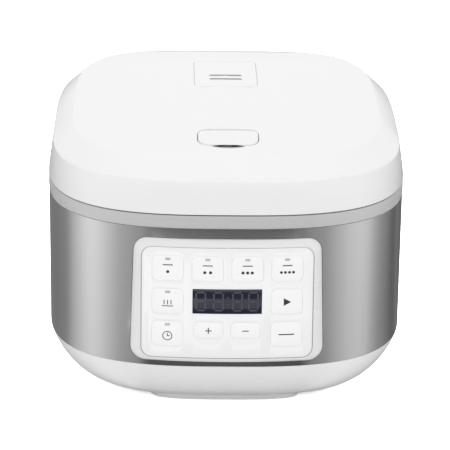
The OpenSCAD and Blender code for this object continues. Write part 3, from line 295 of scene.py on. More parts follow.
# The same for a form that stands in for a CAD node and has its slot
def finished(name, bm, body, nodeName, look=None, turn=32):
    piece = detail(name, bm, body, recordSlot[nodeName], look, turn)
    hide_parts(nodeName)
    return piece


# Shared shader groups: they put out only colours, values and normals
def shaderGroup(name, inputs, outputs):
    group = bpy.data.node_groups.new(name, "ShaderNodeTree")
    for label, kind, value in inputs:
        made = group.interface.new_socket(label, in_out="INPUT", socket_type="NodeSocket" + kind)
        if value is not None:
            made.default_value = value
    for label, kind in outputs:
        group.interface.new_socket(label, in_out="OUTPUT", socket_type="NodeSocket" + kind)
    given = group.nodes.new("NodeGroupInput").outputs
    return group, given, group.nodes.new("NodeGroupOutput")


# Sets a node's inputs or links them; they are given by name, or by number as i0, i1
def wired(tree, made, **inputs):
    for key, value in inputs.items():
        number = key[0] == "i" and key[1:].isdigit()
        spot = made.inputs[int(key[1:]) if number else key.replace("_", " ")]
        if isinstance(value, bpy.types.NodeSocket):
            tree.links.new(value, spot)
        else:
            spot.default_value = value
    return made


def node(tree, kind, settings=(), **inputs):
    made = tree.nodes.new("ShaderNode" + kind)
    for key, value in dict(settings).items():
        setattr(made, key, value)
    return wired(tree, made, **inputs)


def calc(tree, operation, a, b=0.0):
    return node(tree, "Math", {"operation": operation}, i0=a, i1=b).outputs[0]


# A value times a factor, plus an offset
def graded(tree, value, factor, offset):
    return calc(tree, "ADD", calc(tree, "MULTIPLY", value, factor), offset)


def mixed(tree, factor, a, b):
    return node(tree, "Mix", {"data_type": "RGBA"}, i0=factor, i6=a, i7=b).outputs[2]


# Cloudy change of a colour, and the same clouds as a value
def makeMottle():
    group, given, out = shaderGroup("surfaceMottle", [
        ("Vector", "Vector", None), ("Colour", "Color", (0.8, 0.8, 0.8, 1)),
        ("Scale", "Float", 30.0), ("Spread", "Float", 0.03)], [("Colour", "Color"), ("Value", "Float")])
    clouds = node(group, "TexNoise", Vector=given["Vector"], Scale=given["Scale"],
                  Detail=4.0, Roughness=0.6).outputs["Fac"]
    centred = calc(group, "MULTIPLY", calc(group, "SUBTRACT", clouds, 0.5), 2.6)
    tinted = node(group, "VectorMath", {"operation": "SCALE"}, i0=given["Colour"],
                  Scale=graded(group, centred, given["Spread"], 1.0))
    wired(group, out, Colour=tinted.outputs[0], Value=centred)
    return group


# Grain of a moulded or cast surface as a normal
def makeGrain():
    group, given, out = shaderGroup("fineGrain", [
        ("Vector", "Vector", None), ("Scale", "Float", 900.0), ("Depth", "Float", 2e-5)],
        [("Normal", "Vector")])
    fine = node(group, "TexNoise", Vector=given["Vector"], Scale=given["Scale"],
                Detail=3.0, Roughness=0.55).outputs["Fac"]
    bump = node(group, "Bump", Strength=1.0, Distance=given["Depth"], Height=fine)
    wired(group, out, Normal=bump.outputs[0])
    return group


# Fine drawn lines along the directions that Stretch keeps small
def makeBrushed():
    group, given, out = shaderGroup("brushedLines", [
        ("Vector", "Vector", None), ("Stretch", "Vector", (20.0, 20.0, 2500.0)),
        ("Depth", "Float", 1e-5)], [("Normal", "Vector"), ("Value", "Float")])
    drawn = node(group, "VectorMath", {"operation": "MULTIPLY"}, i0=given["Vector"],
                 i1=given["Stretch"])
    lines = node(group, "TexNoise", Vector=drawn.outputs[0], Scale=1.0, Detail=5.0,
                 Roughness=0.7).outputs["Fac"]
    bump = node(group, "Bump", Strength=1.0, Distance=given["Depth"], Height=lines)
    wired(group, out, Normal=bump.outputs[0], Value=lines)
    return group


# Broad soft smudges of handling, 0 to 1
def makeHandling():
    group, given, out = shaderGroup("handlingMarks", [
        ("Vector", "Vector", None), ("Scale", "Float", 14.0)], [("Value", "Float")])
    broad = node(group, "TexNoise", Vector=given["Vector"], Scale=given["Scale"],
                 Detail=2.0, Distortion=0.6).outputs["Fac"]
    streaks = node(group, "TexVoronoi", {"feature": "SMOOTH_F1"}, Vector=given["Vector"],
                   Scale=calc(group, "MULTIPLY", given["Scale"], 5.0)).outputs["Distance"]
    value = node(group, "MapRange", i0=calc(group, "MULTIPLY", broad, streaks), i1=0.16, i2=0.34)
    wired(group, out, Value=value.outputs[0])
    return group


# Copper tracks and pads under solder resist, as two masks
def makeTracks():
    group, given, out = shaderGroup("boardTracks", [("Vector", "Vector", None)],
                                    [("Tracks", "Float"), ("Pads", "Float")])
    maze = node(group, "TexVoronoi", {"distance": "MANHATTAN"}, Vector=given["Vector"],
                Scale=160.0).outputs["Distance"]
    wave = calc(group, "FRACT", calc(group, "MULTIPLY", maze, 3.0))
    dots = node(group, "TexVoronoi", {"distance": "EUCLIDEAN"}, Vector=given["Vector"],
                Scale=110.0, Randomness=0.6).outputs["Distance"]
    wired(group, out, Tracks=calc(group, "GREATER_THAN", wave, 0.55),
          Pads=calc(group, "LESS_THAN", dots, 0.16))
    return group


groups = {"mottle": makeMottle(), "grain": makeGrain(), "brushed": makeBrushed(),
          "handling": makeHandling(), "tracks": makeTracks()}


def grouped(tree, key, **inputs):
    return node(tree, "Group", {"node_tree": groups[key]}, **inputs).outputs


# One material; more may change its colour, roughness and normal, and extra sets other inputs
def makeMaterial(name, colour, rough, metal=0.0, coat=0.0, scale=30.0, spread=0.02,
                 roughSpread=0.05, grain=(900, 1e-5), handled=0.0, more=None, **extra):
    made = bpy.data.materials.new(name)
    made.use_nodes = True
    tree = made.node_tree
    place = node(tree, "TexCoord").outputs["Object"]
    mottle = grouped(tree, "mottle", Vector=place, Colour=(*colour, 1), Scale=scale, Spread=spread)
    tone = mottle["Colour"]
    roughness = graded(tree, mottle["Value"], roughSpread, rough)
    if handled:
        roughness = graded(tree, grouped(tree, "handling", Vector=place)["Value"], handled, roughness)
    normal = grouped(tree, "grain", Vector=place, Scale=grain[0], Depth=grain[1])["Normal"]
    if more:
        tone, roughness, normal = more(tree, place, tone, roughness, normal)
    wired(tree, tree.nodes["Principled BSDF"], Base_Color=tone, Roughness=roughness, Normal=normal,
          Metallic=metal, Coat_Weight=coat, Coat_Roughness=0.08, **extra)
    return made


def lined(tree, place, tone, rough, stretch, depth, change):
    lines = grouped(tree, "brushed", Vector=place, Stretch=stretch, Depth=depth)
    soft = calc(tree, "MULTIPLY", calc(tree, "SUBTRACT", lines["Value"], 0.5), change)
    return tone, calc(tree, "ADD", rough, soft), lines["Normal"]


def brushedSteel(tree, place, tone, rough, normal):
    return lined(tree, place, tone, rough, (12.0, 12.0, 3200.0), 8e-7, 0.06)


def turnedMetal(tree, place, tone, rough, normal):
    return lined(tree, place, tone, rough, (900.0, 900.0, 900.0), 6e-6, 0.16)


# Each flake's own random shade, 0 to 1
def flakeShade(tree, place, scale):
    flakes = node(tree, "TexVoronoi", Vector=place, Scale=scale)
    return node(tree, "SeparateColor", i0=flakes.outputs["Color"]).outputs[0]


def flakedCoating(tree, place, tone, rough, normal):
    bright = calc(tree, "GREATER_THAN", flakeShade(tree, place, 1500.0), 0.93)
    tone = mixed(tree, calc(tree, "MULTIPLY", bright, 0.35), tone, (0.55, 0.55, 0.56, 1))
    return tone, rough, normal


def paintedFlake(tree, place, tone, rough, normal):
    factor = graded(tree, flakeShade(tree, place, 2600.0), 0.06, 0.97)
    tone = node(tree, "VectorMath", {"operation": "SCALE"}, i0=tone, Scale=factor).outputs[0]
    return tone, rough, normal


def trackedBoard(tree, place, tone, rough, normal):
    masks = grouped(tree, "tracks", Vector=place)
    tone = mixed(tree, masks["Tracks"], tone, (0.03, 0.2, 0.07, 1))
    return mixed(tree, masks["Pads"], tone, (0.6, 0.6, 0.58, 1)), rough, normal


def layeredCore(tree, place, tone, rough, normal):
    lines = grouped(tree, "brushed", Vector=place, Stretch=(10.0, 2600.0, 10.0), Depth=4e-5)
    dark = calc(tree, "GREATER_THAN", lines["Value"], 0.55)
    return mixed(tree, dark, tone, (0.02, 0.018, 0.016, 1)), rough, lines["Normal"]


def heatTint(tree, place, tone, rough, normal):
    clouds = node(tree, "TexNoise", Vector=place, Scale=25.0, Detail=3.0).outputs["Fac"]
    return mixed(tree, clouds, tone, (0.12, 0.07, 0.05, 1)), rough, normal


bareMetal = {"metal": 1.0, "more": turnedMetal}
materials = {
    "shell_white": makeMaterial(
        "shellWhite", (0.86, 0.86, 0.865), 0.3, coat=0.2, spread=0.004, roughSpread=0.02,
        grain=(1400, 1.2e-6)),
    "fascia_white": makeMaterial(
        "fasciaWhite", (0.93, 0.93, 0.94), 0.12, coat=0.6, spread=0.004, roughSpread=0.01,
        grain=(300, 6e-7), handled=0.015),
    "key_white": makeMaterial(
        "keyWhite", (0.94, 0.94, 0.945), 0.3, spread=0.005, grain=(1800, 1.5e-6), handled=0.03),
    "band_steel": makeMaterial(
        "bandSteel", (0.64, 0.64, 0.642), 0.13, metal=1.0, spread=0.006, scale=12.0,
        roughSpread=0.01, more=brushedSteel),
    "collar_silver": makeMaterial(
        "collarSilver", (0.56, 0.56, 0.565), 0.42, metal=0.2, coat=0.1, spread=0.008,
        grain=(1500, 1e-6), more=paintedFlake),
    "inner_white": makeMaterial(
        "innerWhite", (0.74, 0.74, 0.745), 0.48, spread=0.012, grain=(1300, 1.6e-5)),
    "case_grey": makeMaterial("caseGrey", (0.5, 0.5, 0.515), 0.52, grain=(1000, 2e-5)),
    "aluminium": makeMaterial("spunAluminium", (0.6, 0.605, 0.62), 0.34, spread=0.03, **bareMetal),
    "pot_coating": makeMaterial(
        "potCoating", (0.035, 0.035, 0.038), 0.36, coat=0.15, spread=0.06, grain=(1100, 1.2e-5),
        more=flakedCoating),
    "element_tube": makeMaterial(
        "elementTube", (0.09, 0.08, 0.08), 0.55, metal=0.8, spread=0.15, scale=60.0, more=heatTint),
    "spring_steel": makeMaterial(
        "springSteel", (0.45, 0.45, 0.47), 0.28, spread=0.05, scale=200.0, **bareMetal),
    "fixing_steel": makeMaterial(
        "fixingSteel", (0.5, 0.51, 0.54), 0.25, spread=0.06, scale=150.0, **bareMetal),
    "brass": makeMaterial(
        "plainBrass", (0.58, 0.36, 0.11), 0.3, spread=0.06, scale=120.0, **bareMetal),
    "pad_rubber": makeMaterial(
        "padRubber", (0.035, 0.035, 0.037), 0.78, spread=0.12, grain=(700, 5e-5)),
    "seal_silicone": makeMaterial(
        "sealSilicone", (0.6, 0.6, 0.61), 0.42, spread=0.03, Subsurface_Weight=0.2,
        Subsurface_Scale=0.002),
    "display_dark": makeMaterial(
        "displayDark", (0.016, 0.017, 0.034), 0.09, coat=0.4, spread=0.06, scale=40.0,
        roughSpread=0.02, grain=(200, 2e-6)),
    "indicator": makeMaterial(
        "indicatorLens", (0.55, 0.55, 0.565), 0.3, spread=0.03, scale=300.0,
        Subsurface_Weight=0.15, Subsurface_Scale=0.001),
    "circuit_board": makeMaterial(
        "circuitBoard", (0.012, 0.1, 0.035), 0.3, spread=0.1, more=trackedBoard),
    "black_plastic": makeMaterial(
        "blackPlastic", (0.016, 0.016, 0.018), 0.42, spread=0.1, grain=(1200, 2e-5)),
    "transformer_core": makeMaterial(
        "transformerCore", (0.09, 0.07, 0.055), 0.45, metal=0.6, spread=0.1, more=layeredCore),
    "fuse_ceramic": makeMaterial(
        "fuseCeramic", (0.72, 0.7, 0.62), 0.5, spread=0.04, grain=(1500, 2e-5)),
    "heater_foil": makeMaterial(
        "heaterFoil", (0.5, 0.49, 0.46), 0.35, metal=0.9, spread=0.08, scale=160.0,
        grain=(350, 1.2e-4)),
}
# Looks of small details, which the record has no slot for
printGrey = makeMaterial("printGrey", (0.035, 0.035, 0.04), 0.4, scale=200.0)
# Dark grey of the plates under the steam slots: painted shade of the vent openings
louvreShadeGrey = makeMaterial("louvreShadeGrey", (0.2, 0.2, 0.205), 0.5, scale=120.0)
# The bezel's white is the shell's white made greyer: painted shade for its shaded top and flanks
bezelShadedWhite = makeMaterial("bezelShadedWhite", (0.79, 0.79, 0.795), 0.28, coat=0.2, spread=0.004,
                          roughSpread=0.02, grain=(1400, 1.2e-6))
scaleGrey = makeMaterial("scaleGrey", (0.45, 0.45, 0.46), 0.4, spread=0.05, scale=200.0)
sealViolet = makeMaterial("sealViolet", (0.42, 0.42, 0.47), 0.4, scale=120.0)
segmentGrey = makeMaterial("segmentGrey", (0.045, 0.047, 0.07), 0.12, coat=0.3, spread=0.03,
                           scale=300.0)

recordSlot = {row["node"]: row["material_slot"] for row in frame["record"]["subparts"]}
for name, slotName in recordSlot.items():
    shown = frame["nodes"][name]
    shown.data.materials.clear()
    shown.data.materials.append(materials[slotName])
print("stage: materials")


# A ball stretched to three radii, and a flat figure of x and z
def ball(centre, radii):
    bm = bmesh.new()
    bmesh.ops.create_uvsphere(bm, u_segments=48, v_segments=24, radius=1,
                              matrix=Matrix.Translation(centre) @ Matrix.Diagonal((*radii, 1)))
    return bm


def flat(points, bm=None):
    bm = bm or bmesh.new()
    made = bmesh.ops.create_circle(bm, cap_ends=True, segments=len(points), radius=1)["verts"]
    for v, (x, z) in zip(made, points):
        v.co = (x, 0, z)
    return bm


tub = {"side": 1, "spread": 35.3, "power": 1.22, "least": 6.2, "vents": 9, "ventPitch": 8,
       "ventW": 3, "ventY": (-23, 17), "screwR": 1.55, "standAt": 70, "standR": 8,
       "standZ": (5.4, 12.4)}
pillars = ((-76, -84), (76, -84), (-74, 90), (74, 90))


# How far the tub's side is drawn in at a share of its height, counted from its rim
def tubInset(u):
    return tub["side"] + tub["spread"] * (1 - sqrt(1 - u ** tub["power"]))


def makeTub():
    top, tall, wall = hull["band"], hull["band"] - hull["foot"], hull["wall"]
    outer = [ring(tubInset(u), top - tall * u) for u in (1 - (i / 36) ** 2 for i in range(35))]
    rim = [ring(tubInset(0.03), top - 1), ring(1, top - 0.5), ring(1.1, top - 0.15), ring(1.6, top)]
    inner = [ring(max(tubInset(u) + wall * (1 + u), tub["least"]), top - tall * u)
             for u in (0, 0.25, 0.5, 0.7, 0.85, 1 - wall / tall)]
    half, (front, rear) = tub["ventW"] / 2, tub["ventY"]
    places = [tub["ventPitch"] * (i - (tub["vents"] - 1) // 2) for i in range(tub["vents"])]
    slots = [box((x - half, front, 0), (x + half, rear, 9)) for x in places]
    holes = [rod((x, y, 0), (x, y, 12), tub["screwR"], 24) for x, y in pillars]
    low, high = tub["standZ"]
    stands = [rod((x, y, low), (x, y, high), tub["standR"])
              for x, y in arc(0, hull["potY"], tub["standAt"], 90, 330, 2)]
    shell = carved(loft(outer + rim + inner), *slots, *holes)
    finished("tubShell", together(shell, *stands), "base", "base_tub")


# Holes are a figure's width, height and corner, and its middle's height
band = {"low": 1.0, "high": 0.25, "edge": 0.12, "front": ((131.1, 135.1), 91.2, 10.3),
        "frontZ": 87.3, "rear": (150.6, 90.6, 8.3), "rearZ": 89}


def makeBand():
    bottom, top, edge = hull["band"], hull["collar"], band["edge"]
    low, high = ring(band["low"], bottom + edge), ring(band["high"], top - edge)
    side = [[p.lerp(q, i / 8) for p, q in zip(low, high)] for i in range(9)]
    rest = [ring(i, z) for i, z in ((0.37, top), (0.73, top), (0.85, top - edge),
                                    (1.6, bottom + edge), (1.48, bottom), (1.12, bottom))]
    front = alongY([(x, z + band["frontZ"]) for x, z in rounded(*band["front"])], -160, -128)
    rear = alongY([(x, z + band["rearZ"]) for x, z in rounded(*band["rear"])], 110, 160)
    wrap = carved(loft(side + rest, closed=True), front, rear)
    finished("steelWrap", wrap, "base", "steel_band")


collar = {"thick": 2.1, "gap": 0.2}


def makeCollar():
    low, top, thick = hull["collar"] + collar["gap"], hull["seam"], collar["thick"]
    rows = [ring(i, z) for i, z in ((0.5, low), (0.12, low + 0.1), (0, low + 0.3), (0, top - 0.4),
                                    (0.08, top - 0.15), (0.3, top), (thick, top), (thick, low))]
    finished("collarTrim", loft(rows, closed=True), "base", "collar_ring")


# The lid's whole form, drawn in by d, with soft breaks at its shoulder
def lidRows(d=0, foot=hull["lid"], soft=0.8):
    wallTop, edge, side, top = (hull[k] for k in ("wallTop", "edge", "sideIn", "topIn"))
    rows = [ring(0.35, foot), ring(0.1, foot + 0.1), ring(0, foot + 0.4)] if d == 0 else [ring(d, foot)]
    steep = side / (wallTop - hull["lid"])
    ramp = (top - side - d / 2) / (edge - wallTop - d / 2)

    def crown(k):
        return ring(top, edge + hull["crown"] * (1 - k * k) - d, k)

    rows += bend(ring(side + d - steep * soft, wallTop - d / 2 - soft),
                 ring(side + d, wallTop - d / 2),
                 ring(side + d + ramp * soft * 0.7, wallTop - d / 2 + soft * 0.7))
    rows += bend(ring(top + d / 2 - ramp * soft * 0.7, edge - d - soft * 0.7),
                 ring(top + d / 2, edge - d), crown(0.96))
    return rows + [crown(k) for k in (0.92, 0.87, 0.81, 0.74, 0.66, 0.57, 0.47, 0.36, 0.24, 0.12,
                                      0.03)]


# Rooms in front of the hinge and behind it, drawn in by d
def lidRoom(d):
    r, end = hinge["r"] + hinge["gap"] + d, hinge["y"] - hinge["lip"] - d
    last = 180 / pi * acos((end - hinge["y"]) / r)
    front = arc(hinge["y"], hinge["z"], r, 180, last, 12)
    return alongX([(-far, 100), (lidBack - d, 100), *front, (end, far), (-far, far)], -far, far)


def coverRoom(d):
    r = hinge["r"] - d
    return alongX([(hinge["y"] - r, 100), *arc(hinge["y"], hinge["z"], r, 180, 90, 12),
                   (hinge["y"], far), (far, far), (far, 100)], -far, far)


def alongHinge(x0, x1, r):
    return rod((x0, hinge["y"], hinge["z"]), (x1, hinge["y"], hinge["z"]), r)


steam = {"w": 46, "d": 81, "r": 5, "y": 35.5, "low": 186.03, "wall": 1.6, "slotY": (15.5, 26.7),
         "slotW": 24, "slotD": 3.6, "sunk": 0.14, "room": (0.24, 0.6)}
button = {"w": 42, "d": 24.4, "r": 8, "y": -105.8, "low": 185.5, "roof": 120, "axis": -89.6,
          "dip": 0.9, "dipY": -104, "room": (1.0, 0.5)}
lid = {"foot": 149, "edge": 0.2, "armIn": 3.6, "armTop": 2.67, "armTurn": 159.4, "armEdge": 0.4,
       "postX": 88, "postY": 80, "postR": 3.9, "postZ": (155.6, 187.6),
       "scoop": ((0, -118.4, 191.0), (12.5, 4.2, 1.9))}


# The rim of the button's hole keeps its edge
def clearOfButton(edge):
    return all(abs(v.co.x) > 26 or v.co.y > -80 or v.co.y < -126 for v in edge.verts)


def makeLid():
    wall = hull["wall"]
    form = carved(loft(lidRows()), lidRoom(0), how="INTERSECT")
    hollow = carved(loft(lidRows(wall, lid["foot"])), lidRoom(wall), how="INTERSECT")
    holes = [upright(rounded(p["w"] + p["room"][0], p["d"] + p["room"][1], p["r"] + 0.3), 177, 220,
                     p["y"]) for p in (steam, button)]
    shell = bevelSharp(carved(form, hollow, *holes, ball(*lid["scoop"])), lid["edge"], 45, 2,
                       clearOfButton)
    z, r, start = hinge["z"], hinge["r"] - hinge["gap"], lidBack - lid["armIn"]
    side = [(start, z - r), *arc(hinge["y"], z, r, -90, lid["armTurn"], 30),
            (start, z + lid["armTop"])]
    arms = []
    for s in (-1, 1):
        x, half = s * (hinge["armX"] + hinge["armW"] / 2), hinge["armW"] / 2
        arm = carved(alongX(side, x - half, x + half),
                     alongHinge(x - half - 2, x + half + 2, hinge["pinR"]))
        arms.append(bevelSharp(arm, lid["armEdge"], 50))
    (low, high), px, py = lid["postZ"], lid["postX"], lid["postY"]
    posts = [rod((x, y, low), (x, y, high), lid["postR"], 32) for x in (-px, px) for y in (-py, py)]
    finished("lidShell", together(shell, *arms, *posts), "lid", "lid_cover")


cover = {"foot": 149.4, "hollow": 148, "edge": 0.35, "earZ": (146.2, 149.41), "earY": 8,
         "boreX": 54.4}


def makeHingeCover():
    wall, y, z = hull["wall"], hinge["y"], hinge["z"]
    form = carved(loft(lidRows(0, cover["foot"])), coverRoom(0), how="INTERSECT")
    hollow = carved(loft(lidRows(wall, cover["hollow"])), coverRoom(wall), how="INTERSECT")
    ears, tools, feet = [], [], []
    a, w, t, gap = hinge["armX"], hinge["armW"], hinge["ear"], hinge["side"]
    low, high = cover["earZ"]
    for s in (-1, 1):
        for x in (s * (a - gap - t / 2), s * (a + w + gap + t / 2)):
            ears.append(box((x - t / 2, 0, 0), (x + t / 2, far, far)))
            feet.append(box((x - t / 2, y - cover["earY"], low), (x + t / 2, y + cover["earY"], high)))
        left, right = (s * (a + w / 2) + side * (w / 2 + gap) for side in (-1, 1))
        tools += [alongHinge(left, right, hinge["r"] + hinge["gap"]),
                  box((left, y - 2 * hinge["r"], z - hinge["r"]), (right, y, 230))]
    bore = alongHinge(-cover["boreX"], cover["boreX"], hinge["pinR"])
    shell = bevelSharp(carved(form, carved(hollow, *ears), *tools, bore), cover["edge"], 45)
    finished("hingeHousing", together(shell, *feet), "base", "hinge_cover")


# Rows of a cap that closes over a surface, its edge rounded by f
def capRows(p, low, surface, f, inner=(3, 6, 9, 12, 15, 18, 21)):
    def row(drawn, height):
        return [Vector((x, p["y"] + d, height(x, p["y"] + d)))
                for x, d in rounded(p["w"], p["d"], p["r"], run=6, drawn=drawn)]

    rows = [row(0, lambda x, y: low)]
    for i in range(6):
        a = radians(18 * i)
        rows.append(row(f * (1 - cos(a)), lambda x, y: surface(x, y) - f * (1 - sin(a))))
    half = min(p["w"], p["d"]) / 2
    return rows + [row(i, surface) for i in inner if f < i < half - 0.5] + [row(half - 0.4, surface)]


def makeSteamCap():
    cap = loft(capRows(steam, steam["low"], crownZ, 0.6))
    wall, w, d, r = (steam[k] for k in ("wall", "slotW", "slotD", "r"))
    small = {**steam, "w": steam["w"] - 2 * wall, "d": steam["d"] - 2 * wall, "r": r - wall}
    hollow = loft(capRows(small, 184, lambda x, y: crownZ(x, y) - wall, 0.4))
    slots, louvreShades = [], []
    for y in steam["slotY"]:
        slots.append(upright(rounded(w, d, 1.78), 187.7, 220, y))
        # A dark plate just under each slot, painted shade inside the opening
        top = crownZ(0, y) - steam["sunk"]
        louvreShades.append(upright(rounded(w - 0.1, d - 0.1, 1.7), top - wall, top, y))
    shell = bevelSharp(carved(cap, hollow, *slots), 0.2, 50)
    finished("steamCapShell", shell, "steam_lid", "steam_cap")
    detail("steamLouvreShades", together(*louvreShades), "steam_lid", "shell_white", louvreShadeGrey)


def makeButton():
    mid, low = button["y"], button["low"]
    top = crownZ(0, mid + button["d"] / 2) + 0.25 - button["roof"]

    def roof(x, y):
        k = min(max((y - button["dipY"]) / 10, 0), 1)
        height = sqrt(button["roof"] ** 2 - (y - button["axis"]) ** 2)
        return top + height - button["dip"] * k * k

    cap = loft(capRows(button, low, roof, 0.8, (2, 4, 7, 10)))
    smile = ball((0, mid - button["d"] / 2 - 0.6, roof(0, -118) - 1.9), (12.5, 5.5, 1.25))
    hollow, core = (upright(rounded(37.2, 19.6, 5.6), 184, 189.7, mid) for _ in range(2))
    flange = carved(upright(rounded(44.4, 26.8, 9.2), low, 187, mid), core)
    rods = [box((x - 1.5, mid - 1.5, 168.4), (x + 1.5, mid + 1.5, 190.5)) for x in (-9, 9)]
    rods.append(rod((0, mid, 175.5), (0, mid, 190.5), 3.5))
    finished("releaseButton", together(carved(cap, hollow, smile), flange, *rods),
             "release_button", "release_button")


# Front panel: places are x, z above its middle and t out of the steel
panel = {"z": 86.6, "axis": 269.3, "curve": 418, "out": 4.1, "back": 2.1}


def onPanel(x, z, t):
    return Vector((x, panel["axis"] - sqrt((panel["curve"] + t) ** 2 - x * x), panel["z"] + z))


def bentOnPanel(bm, pitch=3):
    reach = int(max(abs(v.co.x) for v in bm.verts) / pitch)
    for i in range(-reach, reach + 1):
        bmesh.ops.bisect_plane(bm, geom=bm.verts[:] + bm.edges[:] + bm.faces[:], dist=0.001,
                               plane_co=(i * pitch, 0, 0), plane_no=(1, 0, 0))
    for v in bm.verts:
        v.co = onPanel(v.co.x, v.co.z, -v.co.y)
    return bm


# Figures are a width, height and corner; t is their place out of the steel
bezel = {"outer": ((130.5, 134.5), 90.6, 10), "flank": ((127.9, 129.9), 88.6, 9.7),
         "backY": -140.7, "face": (122, 84, 8.5), "hole": (120, 82, 7.5), "faceT": 4.7,
         "ledge": (114.6, 76.6, 5.9), "ledgeT": 1.95,
         "bevels": ((1, 0.3, 3), (2, 1.0, 5), (3, 0.55, 4), (4, 0.15, 2))}
seal = {"outer": (119.9, 7.45), "inner": (119.1, 7.05), "t": (2.2, 3.75), "edge": 0.12}


def makeFrame():
    def row(figure, t):
        return [onPanel(x, z, t) for x, z in rounded(*figure, run=24)]

    def skirt(y):
        return [Vector((x, y(x), panel["z"] + z + 0.7)) for x, z in rounded(*bezel["outer"], run=24)]

    flank = [onPanel(x, z + 0.35, 3.1 - 1.5 * (x / 64.7) ** 2)
             for x, z in rounded(*bezel["flank"], run=24)]
    ledge = row(bezel["ledge"], bezel["ledgeT"])
    rows = [skirt(lambda x: bezel["backY"]), skirt(lambda x: frontY(x, 0.8) - 0.4), flank,
            row(bezel["face"], bezel["faceT"]), row(bezel["hole"], bezel["faceT"]),
            row(bezel["hole"], bezel["ledgeT"]), ledge,
            [Vector((p.x, bezel["backY"], p.z)) for p in ledge]]
    bm = loft(rows, closed=True)
    for i, width, steps in bezel["bevels"]:
        bevelRows(bm, [i], width, steps)
    # The bezel takes the greyer white, which is painted shade for its flanks
    finished("panelBezel", bm, "base", "panel_frame", look=bezelShadedWhite)
    (w, r), (v, q), (low, high) = seal["outer"], seal["inner"], seal["t"]
    rows = [row((w, w - 38, r), low), row((w, w - 38, r), high), row((v, v - 38, q), high),
            row((v, v - 38, q), low)]
    line = bevelRows(loft(rows, closed=True), [1, 2], seal["edge"])
    nub = bentOnPanel(bevelSharp(box((-0.6, -4.5, 40.2), (0.6, -2.3, 41)), 0.15, 50))
    detail("fasciaSeal", line, "base", "fascia_white", sealViolet)
    detail("fasciaNub", nub, "base", "shell_white")


keys = [("menu_key_1", -41.4, 25.3), ("menu_key_2", -13.8, 25.3), ("menu_key_3", 13.8, 25.3),
        ("menu_key_4", 41.4, 25.3), ("warm_key", -41.4, 1), ("start_key", 41.4, 1),
        ("timer_key", -41.4, -23.1), ("hour_key", -12.9, -20.1), ("minute_key", 12.9, -20.1),
        ("cancel_key", 41.4, -23.1)]
lit = {"menu_key_1", "menu_key_2", "menu_key_3", "menu_key_4", "warm_key", "timer_key"}
window = {"w": 48, "h": 18, "z": 1.4}
keyForm = {"size": (21.8, 18.4), "small": (20.6, 12.2), "r": 3.4, "edge": 3.98, "crown": 0.72,
           "power": 2.6, "skirt": 1.1, "skirtT": (0.8, 1.8), "side": 3.8, "stemR": 2.4,
           "stemY": -144.1, "lensIn": 2.3, "lens": (3.2, 1.6), "gap": 0.1}


def keySize(name):
    return keyForm["small" if name in ("hour_key", "minute_key") else "size"]


# Height of a key's face at a distance from its edge
def keyFace(depth, h):
    q = min(max(depth / (h / 2), 0), 1)
    return keyForm["edge"] + keyForm["crown"] * (1 - (1 - q) ** keyForm["power"])


def keyDepth(x, z, w, h):
    r = keyForm["r"]
    a, b = abs(x) - w / 2 + r, abs(z) - h / 2 + r
    return r - hypot(max(a, 0), max(b, 0)) - min(max(a, b), 0)


# A figure about x, z, run along y
def figureAt(x, z, figure, y0, y1):
    return alongY([(x + a, z + b) for a, b in figure], y0, y1)


def makeFascia():
    front = alongY(rounded(119, 81, 7), -panel["out"], -panel["back"])
    holes, gap = [], keyForm["gap"]
    for name, x, z in keys:
        w, h = keySize(name)
        holes.append(figureAt(x, z, rounded(w + gap, h + gap, 3.45), -9, 3))
    w, h = window["w"] + 0.3, window["h"] + 0.3
    holes.append(figureAt(0, window["z"], rounded(w, h, 0.5, steps=3), -9, 3))
    bm = bevelSharp(carved(front, *holes), 0.08, 50, 2,
                    lambda e: e.verts[0].co.y + e.verts[1].co.y < -8.1)
    finished("glossFascia", bentOnPanel(bm), "base", "panel_fascia")


def makeKey(name, kx, kz):
    w, h = keySize(name)

    def row(wide, drawn, t):
        figure = rounded(w + 2 * wide, h + 2 * wide, keyForm["r"] + wide, run=8, drawn=drawn)
        return [onPanel(kx + x, kz + z, t) for x, z in figure]

    skirt, (low, high) = keyForm["skirt"], keyForm["skirtT"]
    rows = [row(skirt, 0, low), row(skirt, 0, high), row(0, 0, high), row(0, 0, keyForm["side"])]
    rows += [row(0, d, keyFace(d, h) - (0.1 - d if d < 0.1 else 0) * 0.8)
             for d in (0.03, 0.1, 0.3, 0.6, 1.1, 1.8, 2.7, 3.8, 5, h / 2 - 0.3) if d < h / 2]
    cap = loft(rows)
    if name in lit:
        a, b = (size + 2 * keyForm["gap"] for size in keyForm["lens"])
        lensZ = panel["z"] + kz + h / 2 - keyForm["lensIn"]
        cap = carved(cap, figureAt(kx, lensZ, rounded(a, b, 0.5, steps=4), -160, -138))
    stem = rod(onPanel(kx, kz, 1.2), (kx, keyForm["stemY"], panel["z"] + kz), keyForm["stemR"], 32)
    finished(name.replace("_", "") + "Cap", together(cap, stem), name, name)


def makeLenses():
    lenses, (w, h) = [], keyForm["lens"]
    for name, kx, kz in keys:
        if name in lit:
            z = panel["z"] + kz + keySize(name)[1] / 2 - keyForm["lensIn"]
            front = onPanel(kx, 0, 4.28).y
            lens = figureAt(kx, z, rounded(w, h, 0.5, steps=4), front, -139)
            lenses.append(bevelSharp(lens, 0.2, 60, 3, before(front + 1)))
    finished("indicatorWindows", together(*lenses), "base", "indicator_lenses")


# Seven-bar figures and a colon, all unlit
figures = {"half": 3.2, "tall": 6.6, "thick": 0.55, "slack": 0.35,
           "places": (-18.4, -6.1, 7.1, 18.1), "colon": (2.8, -2.2)}


def disc(x, z, r):
    return arc(x, z, r, 0, 340, 17)


